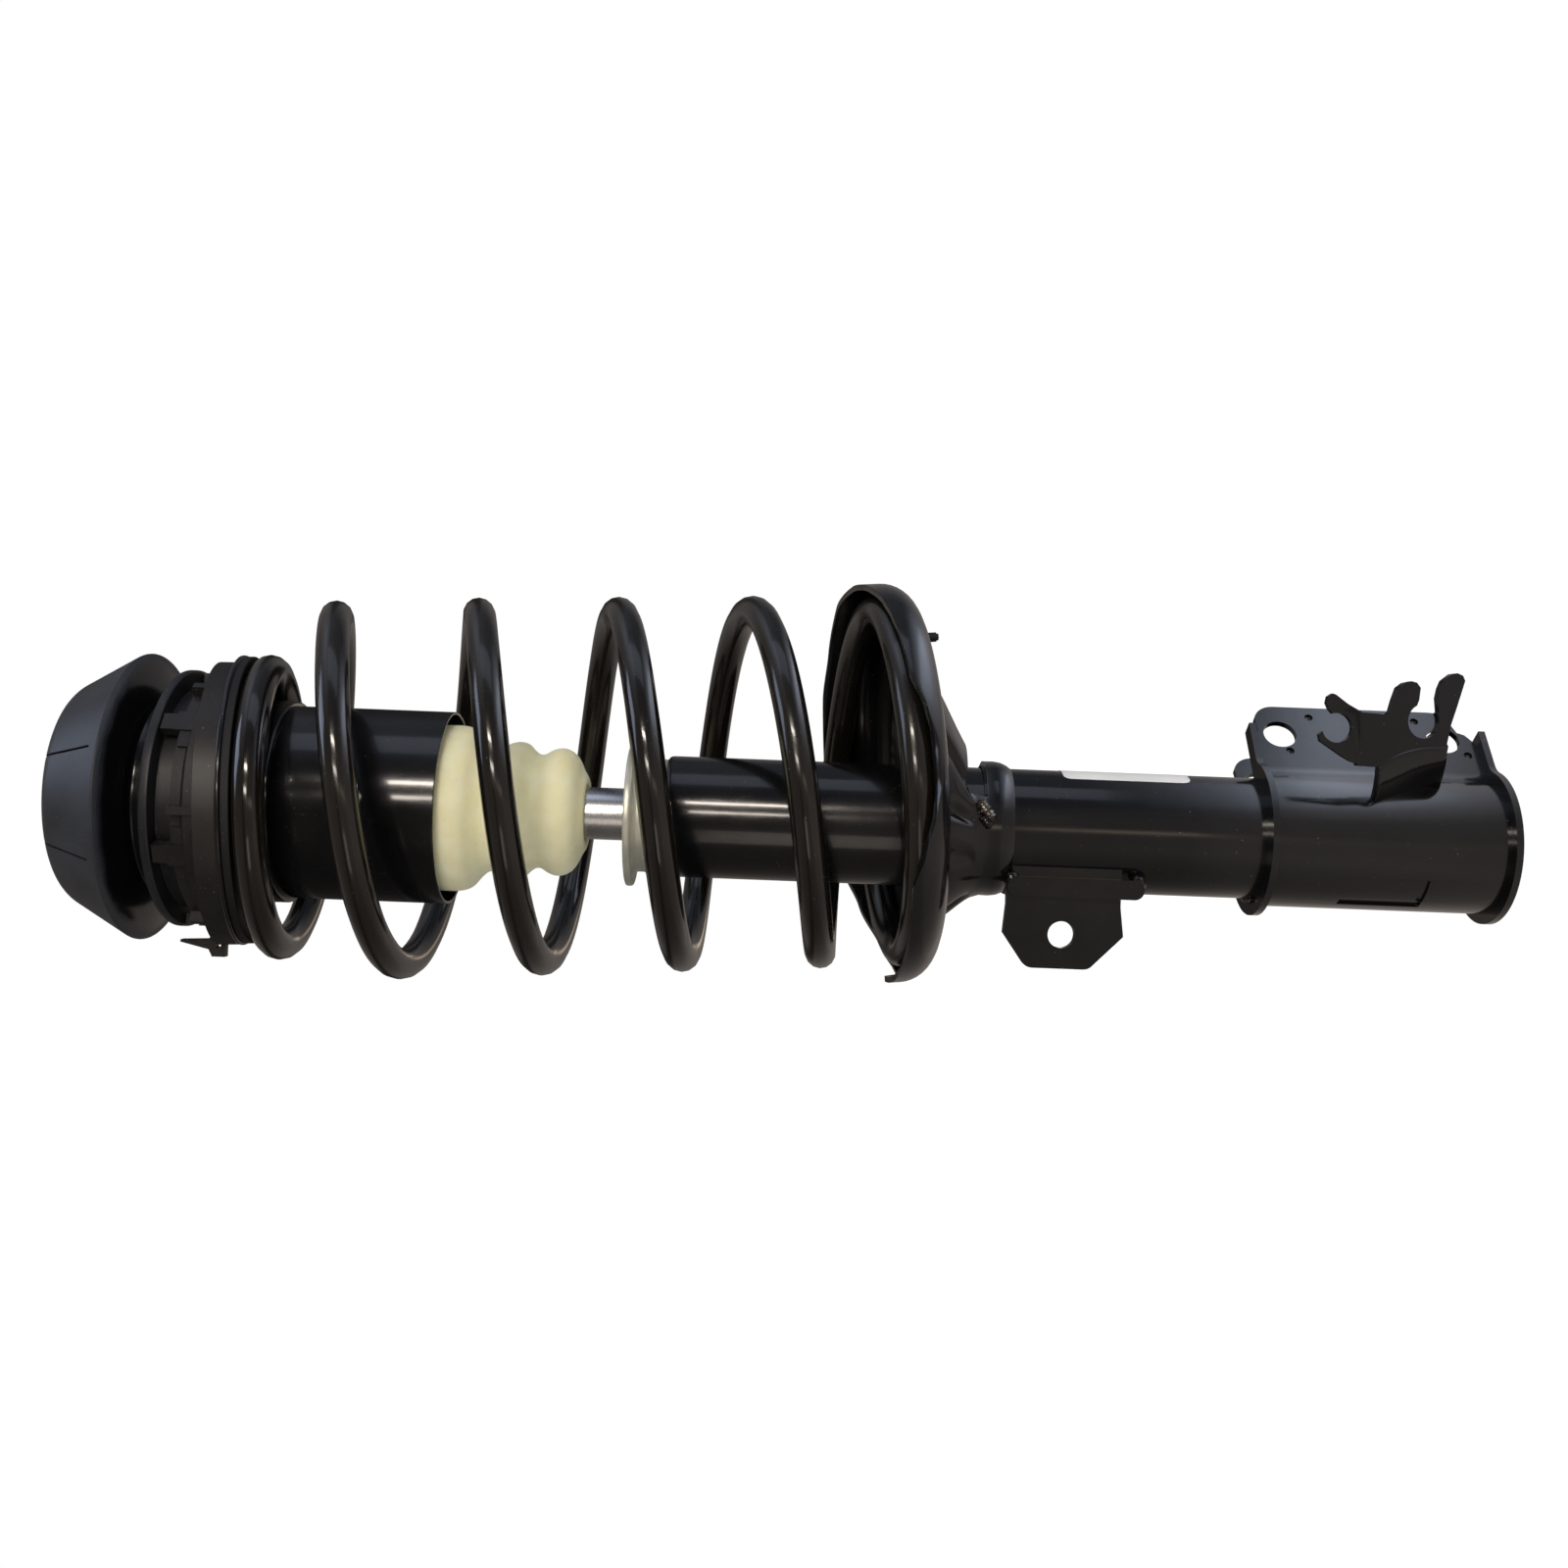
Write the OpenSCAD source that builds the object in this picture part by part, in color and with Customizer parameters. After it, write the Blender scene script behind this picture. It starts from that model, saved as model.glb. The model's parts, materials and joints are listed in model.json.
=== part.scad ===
// Front strut assembly: rubber top mount and bearing, coil spring, twin-tube damper,
// knuckle bracket. Millimetres. +Z runs up the strut's axis, with the origin on the axis
// at the top face of the rubber mount. Everything is drawn at full rebound.

/* [Top mount] */
// Height of the rubber mount
mount_h = 38; // [34:1:44]
// Radius of the mount's top face
mount_top_r = 45; // [42:0.5:48]
// Radius of the mount's rim
mount_rim_r = 60.5; // [57:0.5:64]
// Depth of the rim below the top face
mount_rim_drop = 27; // [24:0.5:29]
// Radius of the mount's neck, on the bearing
mount_neck_r = 41; // [38:0.5:43]
// Number of slits round the cone
slit_count = 8; // [4:1:12]
// Width of a slit
slit_w = 1; // [0.8:0.1:1.6]
// Outer radius of the bonded steel hub
hub_r = 14; // [12.5:0.5:16]
// Radius of the steel plate inside the rubber
core_plate_r = 34; // [30:1:38]
// Thickness of that plate
core_plate_t = 3; // [2:0.5:4]
// Thickness of the washer under the nut
washer_t = 3; // [2:0.5:4]
// Radius of the washer
washer_r = 21; // [18:0.5:22]
// Width of the mount nut across flats
mount_nut_af = 21; // [19:1:24]
// Height of the mount nut
mount_nut_h = 8; // [7:0.5:10]

/* [Rod] */
// Diameter of the piston rod
rod_d = 22; // [20:0.5:22.5]
// Diameter of the thread that holds the mount
rod_thread_d = 14; // [13:0.5:16]
// Diameter of the upper thread, free for the body's nut
stud_d = 12; // [10:0.5:12]
// Rise of the stud above the mount's top face
stud_rise = 12; // [10:0.5:16]
// Width across flats of the hexagon socket in the stud
stud_hex_af = 6; // [5:0.5:6.5]
// Diameter of the rod's lower spigot
spigot_d = 12; // [10:0.5:13]

/* [Bearing] */
// Height of the boss between the mount and the cap's flange
cap_boss_h = 4; // [2:0.5:5]
// Radius of the cap's flange
cap_flange_r = 54; // [52:0.5:56]
// Thickness of the cap's flange
cap_flange_t = 4; // [3:0.5:5]
// Radius of the cap's skirt
cap_skirt_r = 46; // [45:0.5:47]
// Height of the open groove between the cap and the housing
groove_h = 8; // [7:0.5:10]
// Upper radius of the bearing housing
housing_top_r = 51.5; // [50.5:0.5:53]
// Lower radius of the housing's upper part
housing_mid_r = 54.5; // [54:0.5:56]
// Radius of the housing's lower ring
housing_ring_r = 59.5; // [58:0.5:62]
// Height of the housing's lower ring
housing_ring_h = 8.5; // [7:0.5:10]
// Height of the housing above the spring seat, on the axis
housing_h = 11.8; // [11:0.2:14]
// Diameter of a bearing ball
ball_d = 6; // [5:0.5:6.5]
// Number of balls
ball_count = 24; // [16:1:28]
// Radius of the circle of balls
ball_circle_r = 40.5; // [39.5:0.5:41.5]
// Number of snap clips on the housing
clip_count = 6; // [4:1:8]

/* [Spring] */
// Wire diameter
wire_d = 13.5; // [12:0.5:14]
// Mean coil radius of the spring's body
coil_r = 74.25; // [72:0.25:76]
// Mean coil radius of the small top coil
top_coil_r = 56.4; // [56:0.2:58]
// Length between the centres of the end coils
spring_len = 262.5; // [250:1:275]
// Lean of the spring's centre line towards +X, per mm of length
lean_x = 0.054; // [0.04:0.002:0.06]
// Lean of the spring's centre line towards +Y, per mm of length
lean_y = 0.0875; // [0.07:0.0025:0.095]
// Tilt of the top seat about Y, in degrees
top_tilt_x = 2; // [1:0.1:3]
// Tilt of the top seat about X, in degrees
top_tilt_y = 8; // [6:0.5:9]
// Tilt of the lower seat about Y, in degrees
low_tilt_x = 5.1; // [4:0.1:6]
// Tilt of the lower seat about X, in degrees
low_tilt_y = 5; // [3:0.5:7]
// Rings of the wire's mesh in one turn
rings_per_turn = 30; // [16:1:36]
// Sides of the wire's mesh
wire_sides = 10; // [8:1:12]

/* [Upper seat and bump stop] */
// Thickness of the pressed steel seats
sheet_t = 2; // [1.5:0.1:2.5]
// Thickness of the rubber between coil and seat
isolator_t = 2.5; // [2:0.1:3]
// Distance from the small coil's centre line to the upper flange's edge
flange_over = 4.6; // [4:0.2:6]
// Outer radius of the dust tube
dust_r = 40.5; // [40:0.25:41.5]
// Wall of the dust tube
dust_wall = 1.2; // [1:0.1:1.6]
// Length of the dust tube
dust_len = 74.6; // [68:0.5:82]
// Length of the bump stop
bump_len = 130; // [120:1:136]
// Radius of the bump stop's body
bump_r = 35; // [33:0.5:37]
// Gap between the bump stop and the striker cap
bump_gap = 17.5; // [10:0.5:24]

/* [Damper tubes] */
// Outer diameter of the strut tube
tube_d = 51; // [50:0.5:52]
// Wall of the strut tube
tube_wall = 2.5; // [2:0.1:3]
// Length of the strut tube
tube_len = 342; // [336:1:350]
// Height of the striker cap above the tube
striker_h = 16; // [14:0.5:20]
// Radius of the striker cap's flange
striker_r = 30; // [28:0.5:33]
// Bore of the pressure tube
bore_d = 32; // [30:0.5:33]
// Wall of the pressure tube
inner_wall = 1.5; // [1.2:0.1:2]
// Height of the rod guide
guide_h = 20; // [16:0.5:24]
// Height of the piston
piston_h = 22; // [18:0.5:26]
// Number of oil ports in the piston
port_count = 8; // [4:1:10]
// Height of the base valve
base_valve_h = 18; // [14:0.5:22]

/* [Lower seat] */
// Gap between the spring's wire and the rim's wall
rim_gap = 5.5; // [5:0.25:8]
// Thickness of the lower seat
seat_t = 2.5; // [2:0.1:3]
// Tallest height of the rim's wall
seat_wall_h = 29; // [27:0.5:31]
// Radius of the collar on the tube
collar_r = 27.5; // [27:0.25:29]
// Height of the collar
collar_h = 12; // [10:0.5:14]

/* [Sway bar tab] */
// Distance from the lower seat to the tab's hole
tab_drop = 60; // [58:0.5:63]
// Distance of the hole from the strut's axis
tab_hole_x = 42; // [40:0.5:45]
// Diameter of the hole
tab_hole_d = 11; // [10:0.5:12.5]
// Thickness of the tab
tab_t = 4; // [3:0.5:5]
// Width of the tab
tab_w = 49; // [46:1:52]

/* [Knuckle bracket] */
// Direction of the ears, in degrees from +X towards +Y
ear_angle = 38; // [30:1:45]
// Wall of the bracket
bracket_t = 2.8; // [2.5:0.1:3.5]
// Distance from the bracket's lower end to the lower bolt
bolt_under = 17; // [15:0.5:19]
// Distance from the upper bolt to the bracket's upper end
bolt_over = 14; // [13:0.5:17]
// Distance from the tube's lower end to the bracket's lower end
bracket_below = 6; // [2:0.5:10]
// Gap between the two ears, the knuckle's width
ear_gap = 33; // [30:0.5:36]
// Distance of the knuckle bolts from the strut's axis
bolt_rho = 42; // [41:0.5:46]
// Distance between the two knuckle bolts
bolt_pitch = 70; // [64:1:74]
// Diameter of the knuckle bolt holes
bolt_d = 14; // [12:0.5:15]
// Reach of the ears from the strut's axis
ear_reach = 57.5; // [56:0.5:62]
// Height of the flared lips
lip_h = 4.2; // [3:0.2:5]

/* [Hose bracket] */
// Thickness of the hose bracket
hose_t = 3; // [2.5:0.1:3.5]
// Diameter of the hook's round opening
hook_d = 12; // [11:0.5:12.5]
// Diameter of the wire slot
slot_d = 14; // [12:0.5:14.5]

/* [Hidden] */

$fn = 96;
eps = 0.01;           // overlap that keeps a cut clean
run_clear = 0.05;     // radial clearance of a running fit
free_clear = 0.5;     // clearance between pieces that pass each other

// heights of the top mount, from the top face down
recess_depth = washer_t + mount_nut_h + 1;
nut_top_z = -1;
hub_top_z = -recess_depth;
mount_bottom_z = -mount_h;

// heights of the bearing
cap_flange_z = mount_bottom_z - cap_boss_h;
cap_flange_low_z = cap_flange_z - cap_flange_t;
housing_top_z = cap_flange_low_z - groove_h;
cage_t = 1.4;
ball_z = housing_top_z - 2;
housing_bore = cap_skirt_r + 1.2;                // the housing's wall round the cap's skirt
race_gap = 1;                                  // half the gap between the two races
seat_top_z = housing_top_z - housing_h;        // where the tilted seat plane meets the axis
top_pad_t = isolator_t + 1;                    // the upper rubber is the thicker one
pad_clear = 0.15;                              // between the wire's mesh and the rubber
top_wire_z = seat_top_z - sheet_t - top_pad_t - wire_d / 2;

// heights of the seat and the parts that hang from it
cup_top_z = seat_top_z - 14.2;
cup_floor_t = 1.5;
dust_end_z = cup_top_z - dust_len;
bump_top_z = cup_top_z - cup_floor_t;
bump_end_z = bump_top_z - bump_len;
striker_top_z = bump_end_z - bump_gap;
tube_top_z = striker_top_z - striker_h;
tube_low_z = tube_top_z - tube_len;
low_wire_z = top_wire_z - spring_len;

// radii of the damper
tube_r = tube_d / 2;
tube_in_r = tube_r - tube_wall;
rod_r = rod_d / 2;
bore_r = bore_d / 2;
inner_r = bore_r + inner_wall;
bushing_t = 1.5;
roll_t = 2;                                    // the tube's rolled-in top edge
seal_h = 6;
guide_top_z = tube_top_z - roll_t - seal_h;
guide_low_z = guide_top_z - guide_h;
guide_spigot_h = 8;
stop_h = 12;
stop_ring_h = 2;
stop_ring_r = rod_r + 2.2;
stop_groove = 1;
stop_top_z = guide_low_z - guide_spigot_h - 0.3;
stop_low_z = stop_top_z - stop_h;
shoulder_z = stop_low_z - 30;
disc_t = 2;
piston_top_z = shoulder_z - disc_t;
piston_low_z = piston_top_z - piston_h;
piston_nut_h = 8;
piston_nut_af = 19;
rod_low_z = piston_low_z - disc_t - piston_nut_h - 2;
cap_plate_t = 4;
base_low_z = tube_low_z + cap_plate_t;
base_top_z = base_low_z + base_valve_h;
base_foot_h = 5;

// the spring's path: turns are counted down from the small top coil
top_ramp = [0.05, 1.05];
low_ramp = [4.5, 5.5];
tilt_ramp = [4.5, 5.3];
wide_ramp = [0.3, 1.0];
shift_ramp = [0.3, 1.25];
first_turn = -0.25;
last_turn = 5.65;
top_shift_x = -1.3;
body_shift_x = 4.4;
top_kx = tan(top_tilt_x);
top_ky = tan(top_tilt_y);
body_kx = 0.028;
low_kx = tan(low_tilt_x);
low_ky = tan(low_tilt_y);
pitch = spring_len / ((top_ramp[1] - top_ramp[0]) / 2 + low_ramp[0] - top_ramp[1]
    + (low_ramp[1] - low_ramp[0]) / 2);

function clamp01(x) = max(0, min(1, x));
function smooth(x) = let(u = clamp01(x)) u * u * (3 - 2 * u);
function along(t, ramp) = (t - ramp[0]) / (ramp[1] - ramp[0]);
// the integral of smooth() from 0 to u, so that the pitch itself rises and falls smoothly
function swell(u) = let(c = clamp01(u)) c * c * c - c * c * c * c / 2;
function mix(a, b, s) = a + (b - a) * s;
function coil_drop(t) =
    let(l1 = top_ramp[1] - top_ramp[0], l2 = low_ramp[1] - low_ramp[0],
        rise = l1 * swell(along(t, top_ramp)),
        even = clamp01((t - top_ramp[1]) / (low_ramp[0] - top_ramp[1]))
            * (low_ramp[0] - top_ramp[1]),
        u = clamp01(along(t, low_ramp)),
        fall = l2 * (u - swell(u)))
    pitch * (rise + even + fall);
function coil_shift(t) =
    [mix(top_shift_x, body_shift_x, smooth(along(t, shift_ramp))) + lean_x * coil_drop(t),
     lean_y * coil_drop(t)];
function coil_tilt(t) =
    let(s = smooth(along(t, shift_ramp)), e = smooth(along(t, tilt_ramp)))
    [mix(mix(top_kx, body_kx, s), low_kx, e), mix(top_ky, low_ky, s)];
function coil_point(t) =
    let(a = -360 * t, r = mix(top_coil_r, coil_r, smooth(along(t, wide_ramp))),
        k = coil_tilt(t), c = coil_shift(t), x = r * cos(a), y = r * sin(a))
    [c[0] + x, c[1] + y, top_wire_z - coil_drop(t) + k[0] * x + k[1] * y];

low_centre = coil_shift(last_turn);
seat_r = coil_r + wire_d / 2 + rim_gap;
upper_seat_r = top_coil_r + flange_over;
seat_plane_z = low_wire_z - wire_d / 2 - isolator_t;   // top of the lower seat's floor
collar_top_z = seat_plane_z - 27;
tab_z = seat_plane_z - tab_drop;
bracket_low_z = tube_low_z - bracket_below;
bracket_h = bolt_under + bolt_pitch + bolt_over;
bracket_top_z = bracket_low_z + bracket_h;
sleeve_r = tube_r + bracket_t;
ear_in = ear_gap / 2;
ear_out = ear_in + bracket_t;
bolt_low_z = bracket_low_z + bolt_under;
bolt_top_z = bolt_low_z + bolt_pitch;
root_fillet_r = 9;

// points of an arc, centre c, radius r, from angle a0 to a1
function arc(c, r, a0, a1, steps = 12) =
    [for (i = [0 : steps]) let(a = a0 + (a1 - a0) * i / steps) [c[0] + r * cos(a), c[1] + r * sin(a)]];

module ring(outer, inner, z0, z1) {
    translate([0, 0, z0]) difference() {
        cylinder(r = outer, h = z1 - z0);
        translate([0, 0, -1]) cylinder(r = inner, h = z1 - z0 + 2);
    }
}

// a six-sided bar, by its width across flats
module hex_bar(af, z0, z1) {
    translate([0, 0, z0]) cylinder(r = af / sqrt(3), h = z1 - z0, $fn = 6);
}

// children drawn in the plane of the top spring seat, origin on the strut's axis
module on_top_seat() translate([0, 0, seat_top_z]) rotate([top_tilt_y, -top_tilt_x, 0]) children();

// children drawn in the plane of the lower seat's floor, origin at its centre
module on_low_seat()
    translate([low_centre[0], low_centre[1], seat_plane_z]) rotate([low_tilt_y, -low_tilt_x, 0]) children();

// ---- top mount ------------------------------------------------------------------

module mount_core_shape() {
    translate([0, 0, mount_bottom_z]) cylinder(r = hub_r, h = hub_top_z - mount_bottom_z);
    translate([0, 0, hub_top_z - 6 - core_plate_t]) cylinder(r = core_plate_r, h = core_plate_t);
}

module mount_rubber() {
    rim_edge = 0.8;
    slit_depth = 7;
    slit_end_z = 3.5 - mount_rim_drop;
    color([0.13, 0.13, 0.15]) difference() {
        rotate_extrude() polygon([
            [0, mount_bottom_z], [mount_neck_r, mount_bottom_z],
            [mount_neck_r, mount_bottom_z + 4],
            [mount_rim_r, -mount_rim_drop - rim_edge], [mount_rim_r, -mount_rim_drop],
            [mount_top_r + 1.5, -2.5], [mount_top_r - 1.2, 0], [0, 0]]);
        translate([0, 0, -recess_depth]) cylinder(r = washer_r + 3, h = recess_depth + 1);
        mount_core_shape();
        for (i = [0 : slit_count - 1]) rotate(i * 360 / slit_count + 20)
            translate([mount_top_r - slit_depth, -slit_w / 2, slit_end_z])
                cube([mount_rim_r, slit_w, 1 - slit_end_z]);
    }
}

module mount_core() {
    color([0.45, 0.45, 0.47]) difference() {
        mount_core_shape();
        translate([0, 0, mount_bottom_z - 1]) cylinder(r = rod_thread_d / 2, h = mount_h);
    }
}

module mount_washer()
    color([0.72, 0.73, 0.7]) ring(washer_r, rod_thread_d / 2, hub_top_z, hub_top_z + washer_t);

module mount_nut() {
    flange_t = 2;
    low = hub_top_z + washer_t;
    color([0.75, 0.76, 0.74]) difference() {
        union() {
            hex_bar(mount_nut_af, low, nut_top_z);
            translate([0, 0, low]) cylinder(r1 = mount_nut_af * 0.68, r2 = mount_nut_af * 0.6, h = flange_t);
        }
        translate([0, 0, low - 1]) cylinder(r = rod_thread_d / 2, h = mount_nut_h + 2);
    }
}

module piston_rod() {
    chamfer = 1;
    stud_r = stud_d / 2;
    hex_depth = 6;
    color([0.82, 0.83, 0.85]) difference() {
        rotate_extrude() polygon([
            [0, rod_low_z], [spigot_d / 2 - chamfer, rod_low_z], [spigot_d / 2, rod_low_z + chamfer],
            [spigot_d / 2, shoulder_z], [rod_r, shoulder_z],
            [rod_r, stop_low_z - stop_ring_h], [rod_r - stop_groove, stop_low_z - stop_ring_h],
            [rod_r - stop_groove, stop_low_z], [rod_r, stop_low_z],
            [rod_r, mount_bottom_z], [rod_thread_d / 2, mount_bottom_z],
            [rod_thread_d / 2, nut_top_z], [stud_r, nut_top_z],
            [stud_r, stud_rise - chamfer], [stud_r - chamfer, stud_rise], [0, stud_rise]]);
        hex_bar(stud_hex_af, stud_rise - hex_depth, stud_rise + 1);
    }
}

// ---- damper internals that ride on the rod -----------------------------------------

module rebound_stop()
    color([0.3, 0.28, 0.25]) ring(bore_r - 1.2, rod_r, stop_low_z, stop_top_z);

module stop_ring()
    color([0.6, 0.6, 0.62]) ring(stop_ring_r, rod_r - stop_groove, stop_low_z - stop_ring_h, stop_low_z);

module piston() {
    band_groove = 1.1;
    land = 5;
    port_r = 1.4;
    port_circle = (spigot_d / 2 + bore_r) / 2 - 0.6;
    color([0.5, 0.5, 0.5]) difference() {
        ring(bore_r - 0.3, spigot_d / 2, piston_low_z, piston_top_z);
        ring(bore_r + 1, bore_r - band_groove, piston_low_z + land, piston_top_z - land);
        for (i = [0 : port_count - 1]) rotate(i * 360 / port_count)
            translate([port_circle, 0, piston_low_z - 1]) cylinder(r = port_r, h = piston_h + 2, $fn = 24);
    }
}

module piston_band()
    color([0.15, 0.3, 0.28]) ring(bore_r - run_clear, bore_r - 1.1, piston_low_z + 5, piston_top_z - 5);

module valve_discs() {
    disc_r = bore_r - 3.5;
    color([0.55, 0.56, 0.6]) {
        ring(disc_r, spigot_d / 2, piston_top_z, shoulder_z);
        ring(disc_r, spigot_d / 2, piston_low_z - disc_t, piston_low_z);
    }
}

module piston_nut() {
    top = piston_low_z - disc_t;
    color([0.6, 0.6, 0.62]) difference() {
        hex_bar(piston_nut_af, top - piston_nut_h, top);
        translate([0, 0, top - piston_nut_h - 1]) cylinder(r = spigot_d / 2, h = piston_nut_h + 2);
    }
}

// ---- bearing ---------------------------------------------------------------------------

ball_r = ball_d / 2;
race_r = ball_r + run_clear;
cap_low_z = ball_z + race_gap;
cap_bore_r = hub_r + 2;

module bearing_cap() {
    color([0.14, 0.14, 0.15]) difference() {
        rotate_extrude() polygon([
            [cap_bore_r, cap_low_z + 6], [ball_circle_r - 6, cap_low_z + 4],
            [ball_circle_r - 6, cap_low_z], [cap_skirt_r, cap_low_z],
            [cap_skirt_r, cap_flange_low_z], [cap_flange_r, cap_flange_low_z],
            [cap_flange_r, cap_flange_z - 1], [cap_flange_r - 1, cap_flange_z],
            [mount_neck_r + 2, cap_flange_z], [mount_neck_r + 2, mount_bottom_z],
            [cap_bore_r, mount_bottom_z]]);
        translate([0, 0, ball_z]) rotate_extrude() translate([ball_circle_r, 0]) circle(r = race_r, $fn = 48);
    }
}

module housing_clip() {
    clip_w = 9;
    arm_w = 7.6;
    bar_w = 22;
    rib_w = 3.4;
    wall_in = housing_bore + 0.4;
    out = housing_top_r + 2.1;
    // the block, and the arm that reaches up under the cap's flange
    translate([wall_in, -clip_w / 2, housing_top_z - 9]) cube([out - wall_in, clip_w, 10.5]);
    translate([wall_in + 1, -arm_w / 2, housing_top_z - 2]) cube([out - wall_in - 1.6, arm_w, groove_h + 1.4]);
    // the bar along the edge, drawn as a piece of a ring
    translate([0, 0, housing_top_z - 5]) rotate(-asin(bar_w / 2 / housing_top_r))
        rotate_extrude(angle = 2 * asin(bar_w / 2 / housing_top_r)) translate([housing_top_r - 1, 0]) square([2.5, 4.2]);
    // the lower block and the rib beside it
    translate([housing_top_r, clip_w / 2 - 1, housing_top_z - 16.4]) cube([housing_mid_r + 2 - housing_top_r, 7, 7]);
    rotate(20) translate([housing_top_r - 1, -rib_w / 2, housing_top_z - 16.4])
        cube([housing_mid_r + 2.4 - housing_top_r, rib_w, 16.2]);
}

// the wiring finger at the bottom of the housing, pointing up towards the mount
module housing_finger() {
    finger_w = 4;
    root = housing_ring_r - 4;
    translate([0, finger_w / 2, 0]) rotate([90, 0, 0]) linear_extrude(finger_w) difference() {
        polygon([
            [-root, housing_top_z - 7], [-root - 11, housing_top_z - 7], [-root - 11, housing_top_z - 1.5],
            [-root - 8, housing_top_z], [-root - 5.2, housing_top_z + 12], [-root - 4.2, housing_top_z + 12],
            [-root - 3.6, housing_top_z], [-root, housing_top_z - 2]]);
        translate([-root - 6, housing_top_z - 4]) circle(r = 1.2, $fn = 24);
    }
}

module bearing_housing() {
    boss_r = dust_r - dust_wall - 2;
    bore = cap_bore_r + 14;
    ring_shift = -1.4;
    color([0.2, 0.17, 0.15]) difference() {
        union() {
            difference() {
                union() {
                    rotate_extrude() polygon([
                        [bore, housing_top_z - 26], [housing_mid_r, housing_top_z - 26],
                        [housing_mid_r, housing_top_z - 6], [housing_top_r, housing_top_z - 4],
                        [housing_top_r, housing_top_z], [housing_bore, housing_top_z],
                        [housing_bore, ball_z - race_gap], [bore, ball_z - race_gap]]);
                    for (i = [0 : clip_count - 1]) rotate(i * 360 / clip_count + 306) housing_clip();
                    housing_finger();
                }
                on_top_seat() translate([0, 0, -60]) cylinder(r = 90, h = 60);
            }
            difference() {
                on_top_seat() translate([ring_shift, 0, 0]) cylinder(r = housing_ring_r, h = housing_ring_h);
                translate([0, 0, seat_top_z - 30]) cylinder(r = cap_skirt_r + 4, h = 60);
            }
            ring(boss_r, bore, cup_top_z, ball_z - race_gap - 1);
        }
        translate([0, 0, ball_z]) rotate_extrude() translate([ball_circle_r, 0]) circle(r = race_r, $fn = 48);
    }
}

module bearing_cage() {
    half_w = ball_r + 1.2;
    color([0.75, 0.72, 0.62]) difference() {
        ring(ball_circle_r + half_w, ball_circle_r - half_w, ball_z - cage_t / 2, ball_z + cage_t / 2);
        for (i = [0 : ball_count - 1]) rotate(i * 360 / ball_count)
            translate([ball_circle_r, 0, ball_z - 2]) cylinder(r = ball_r + 0.15, h = 4, $fn = 32);
    }
}

module bearing_balls()
    color([0.8, 0.8, 0.82]) for (i = [0 : ball_count - 1]) rotate(i * 360 / ball_count)
        translate([ball_circle_r, 0, ball_z]) sphere(r = ball_r, $fn = 32);

// ---- upper seat, dust tube and bump stop ----------------------------------------------------

hub_top_r = dust_r + 5;       // the seat's hub where it leaves the flange

module upper_spring_seat() {
    color([0.07, 0.07, 0.08]) {
        difference() {
            union() {
                on_top_seat() translate([0, 0, -sheet_t]) cylinder(r = upper_seat_r, h = sheet_t);
                difference() {
                    rotate_extrude() polygon([
                        [dust_r, cup_top_z - 8], [dust_r + sheet_t, cup_top_z - 8],
                        [dust_r + sheet_t, cup_top_z + 1], [hub_top_r, seat_top_z - 2],
                        [hub_top_r, seat_top_z + 12], [dust_r - 1, seat_top_z + 12]]);
                    on_top_seat() translate([0, 0, -eps]) cylinder(r = 90, h = 60);
                }
            }
            rotate_extrude() polygon([
                [0, cup_top_z - 20], [dust_r, cup_top_z - 20], [dust_r, cup_top_z + 2],
                [dust_r, seat_top_z + 20], [0, seat_top_z + 20]]);
        }
    }
}

// rubber ring between the flange and the first half turn of the wire
module upper_isolator() {
    inner = top_coil_r - wire_d / 2 - 3.4;
    outer = upper_seat_r - 0.5;
    color([0.1, 0.1, 0.1]) on_top_seat() difference() {
        translate([0, 0, -sheet_t - top_pad_t + pad_clear]) cylinder(r = outer, h = top_pad_t - pad_clear);
        translate([0, 0, -sheet_t - top_pad_t - 1]) cylinder(r = inner, h = top_pad_t + 2);
    }
}

module dust_tube() {
    color([0.06, 0.06, 0.07]) difference() {
        translate([0, 0, dust_end_z]) cylinder(r = dust_r, h = dust_len);
        translate([0, 0, dust_end_z - 1]) cylinder(r = dust_r - dust_wall, h = dust_len + 1 - cup_floor_t);
        translate([0, 0, cup_top_z - 5]) cylinder(r = rod_r + 3, h = 10);
    }
}

module bump_stop() {
    end = bump_end_z;
    bore = rod_r + 0.6;
    color([0.93, 0.91, 0.78]) rotate_extrude() polygon(concat(
        [[bore, bump_top_z], [bump_r - 4, bump_top_z], [bump_r, bump_top_z - 5]],
        arc([bump_r - 8, end + 52], 8, 0, -50, 6),
        arc([33, end + 39.5], 7, 145, 205, 6),
        arc([20, end + 30], 9, 30, -20, 8),
        arc([29.5, end + 20.6], 5, 150, 210, 6),
        arc([17, end + 11], 10, 35, -35, 8),
        [[bore + 4.5, end + 1.5], [bore + 3, end], [bore, end]]));
}

// ---- damper tubes -----------------------------------------------------------------------------

module strut_tube() {
    color([0.05, 0.05, 0.06]) rotate_extrude() polygon([
        [tube_in_r, tube_low_z], [tube_r, tube_low_z], [tube_r, tube_top_z - 1.5],
        [tube_r - 1.5, tube_top_z], [tube_in_r - 5, tube_top_z],
        [tube_in_r - 5, tube_top_z - roll_t], [tube_in_r, tube_top_z - roll_t]]);
}

module bottom_cap() {
    color([0.05, 0.05, 0.06]) rotate_extrude() polygon([
        [0, tube_low_z], [tube_in_r, tube_low_z], [tube_in_r, base_low_z + 2],
        [tube_in_r - 3, base_low_z + 2], [tube_in_r - 4, base_low_z], [0, base_low_z]]);
}

module inner_tube()
    color([0.6, 0.61, 0.63]) ring(inner_r, bore_r, base_low_z + base_foot_h, guide_low_z);

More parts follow.
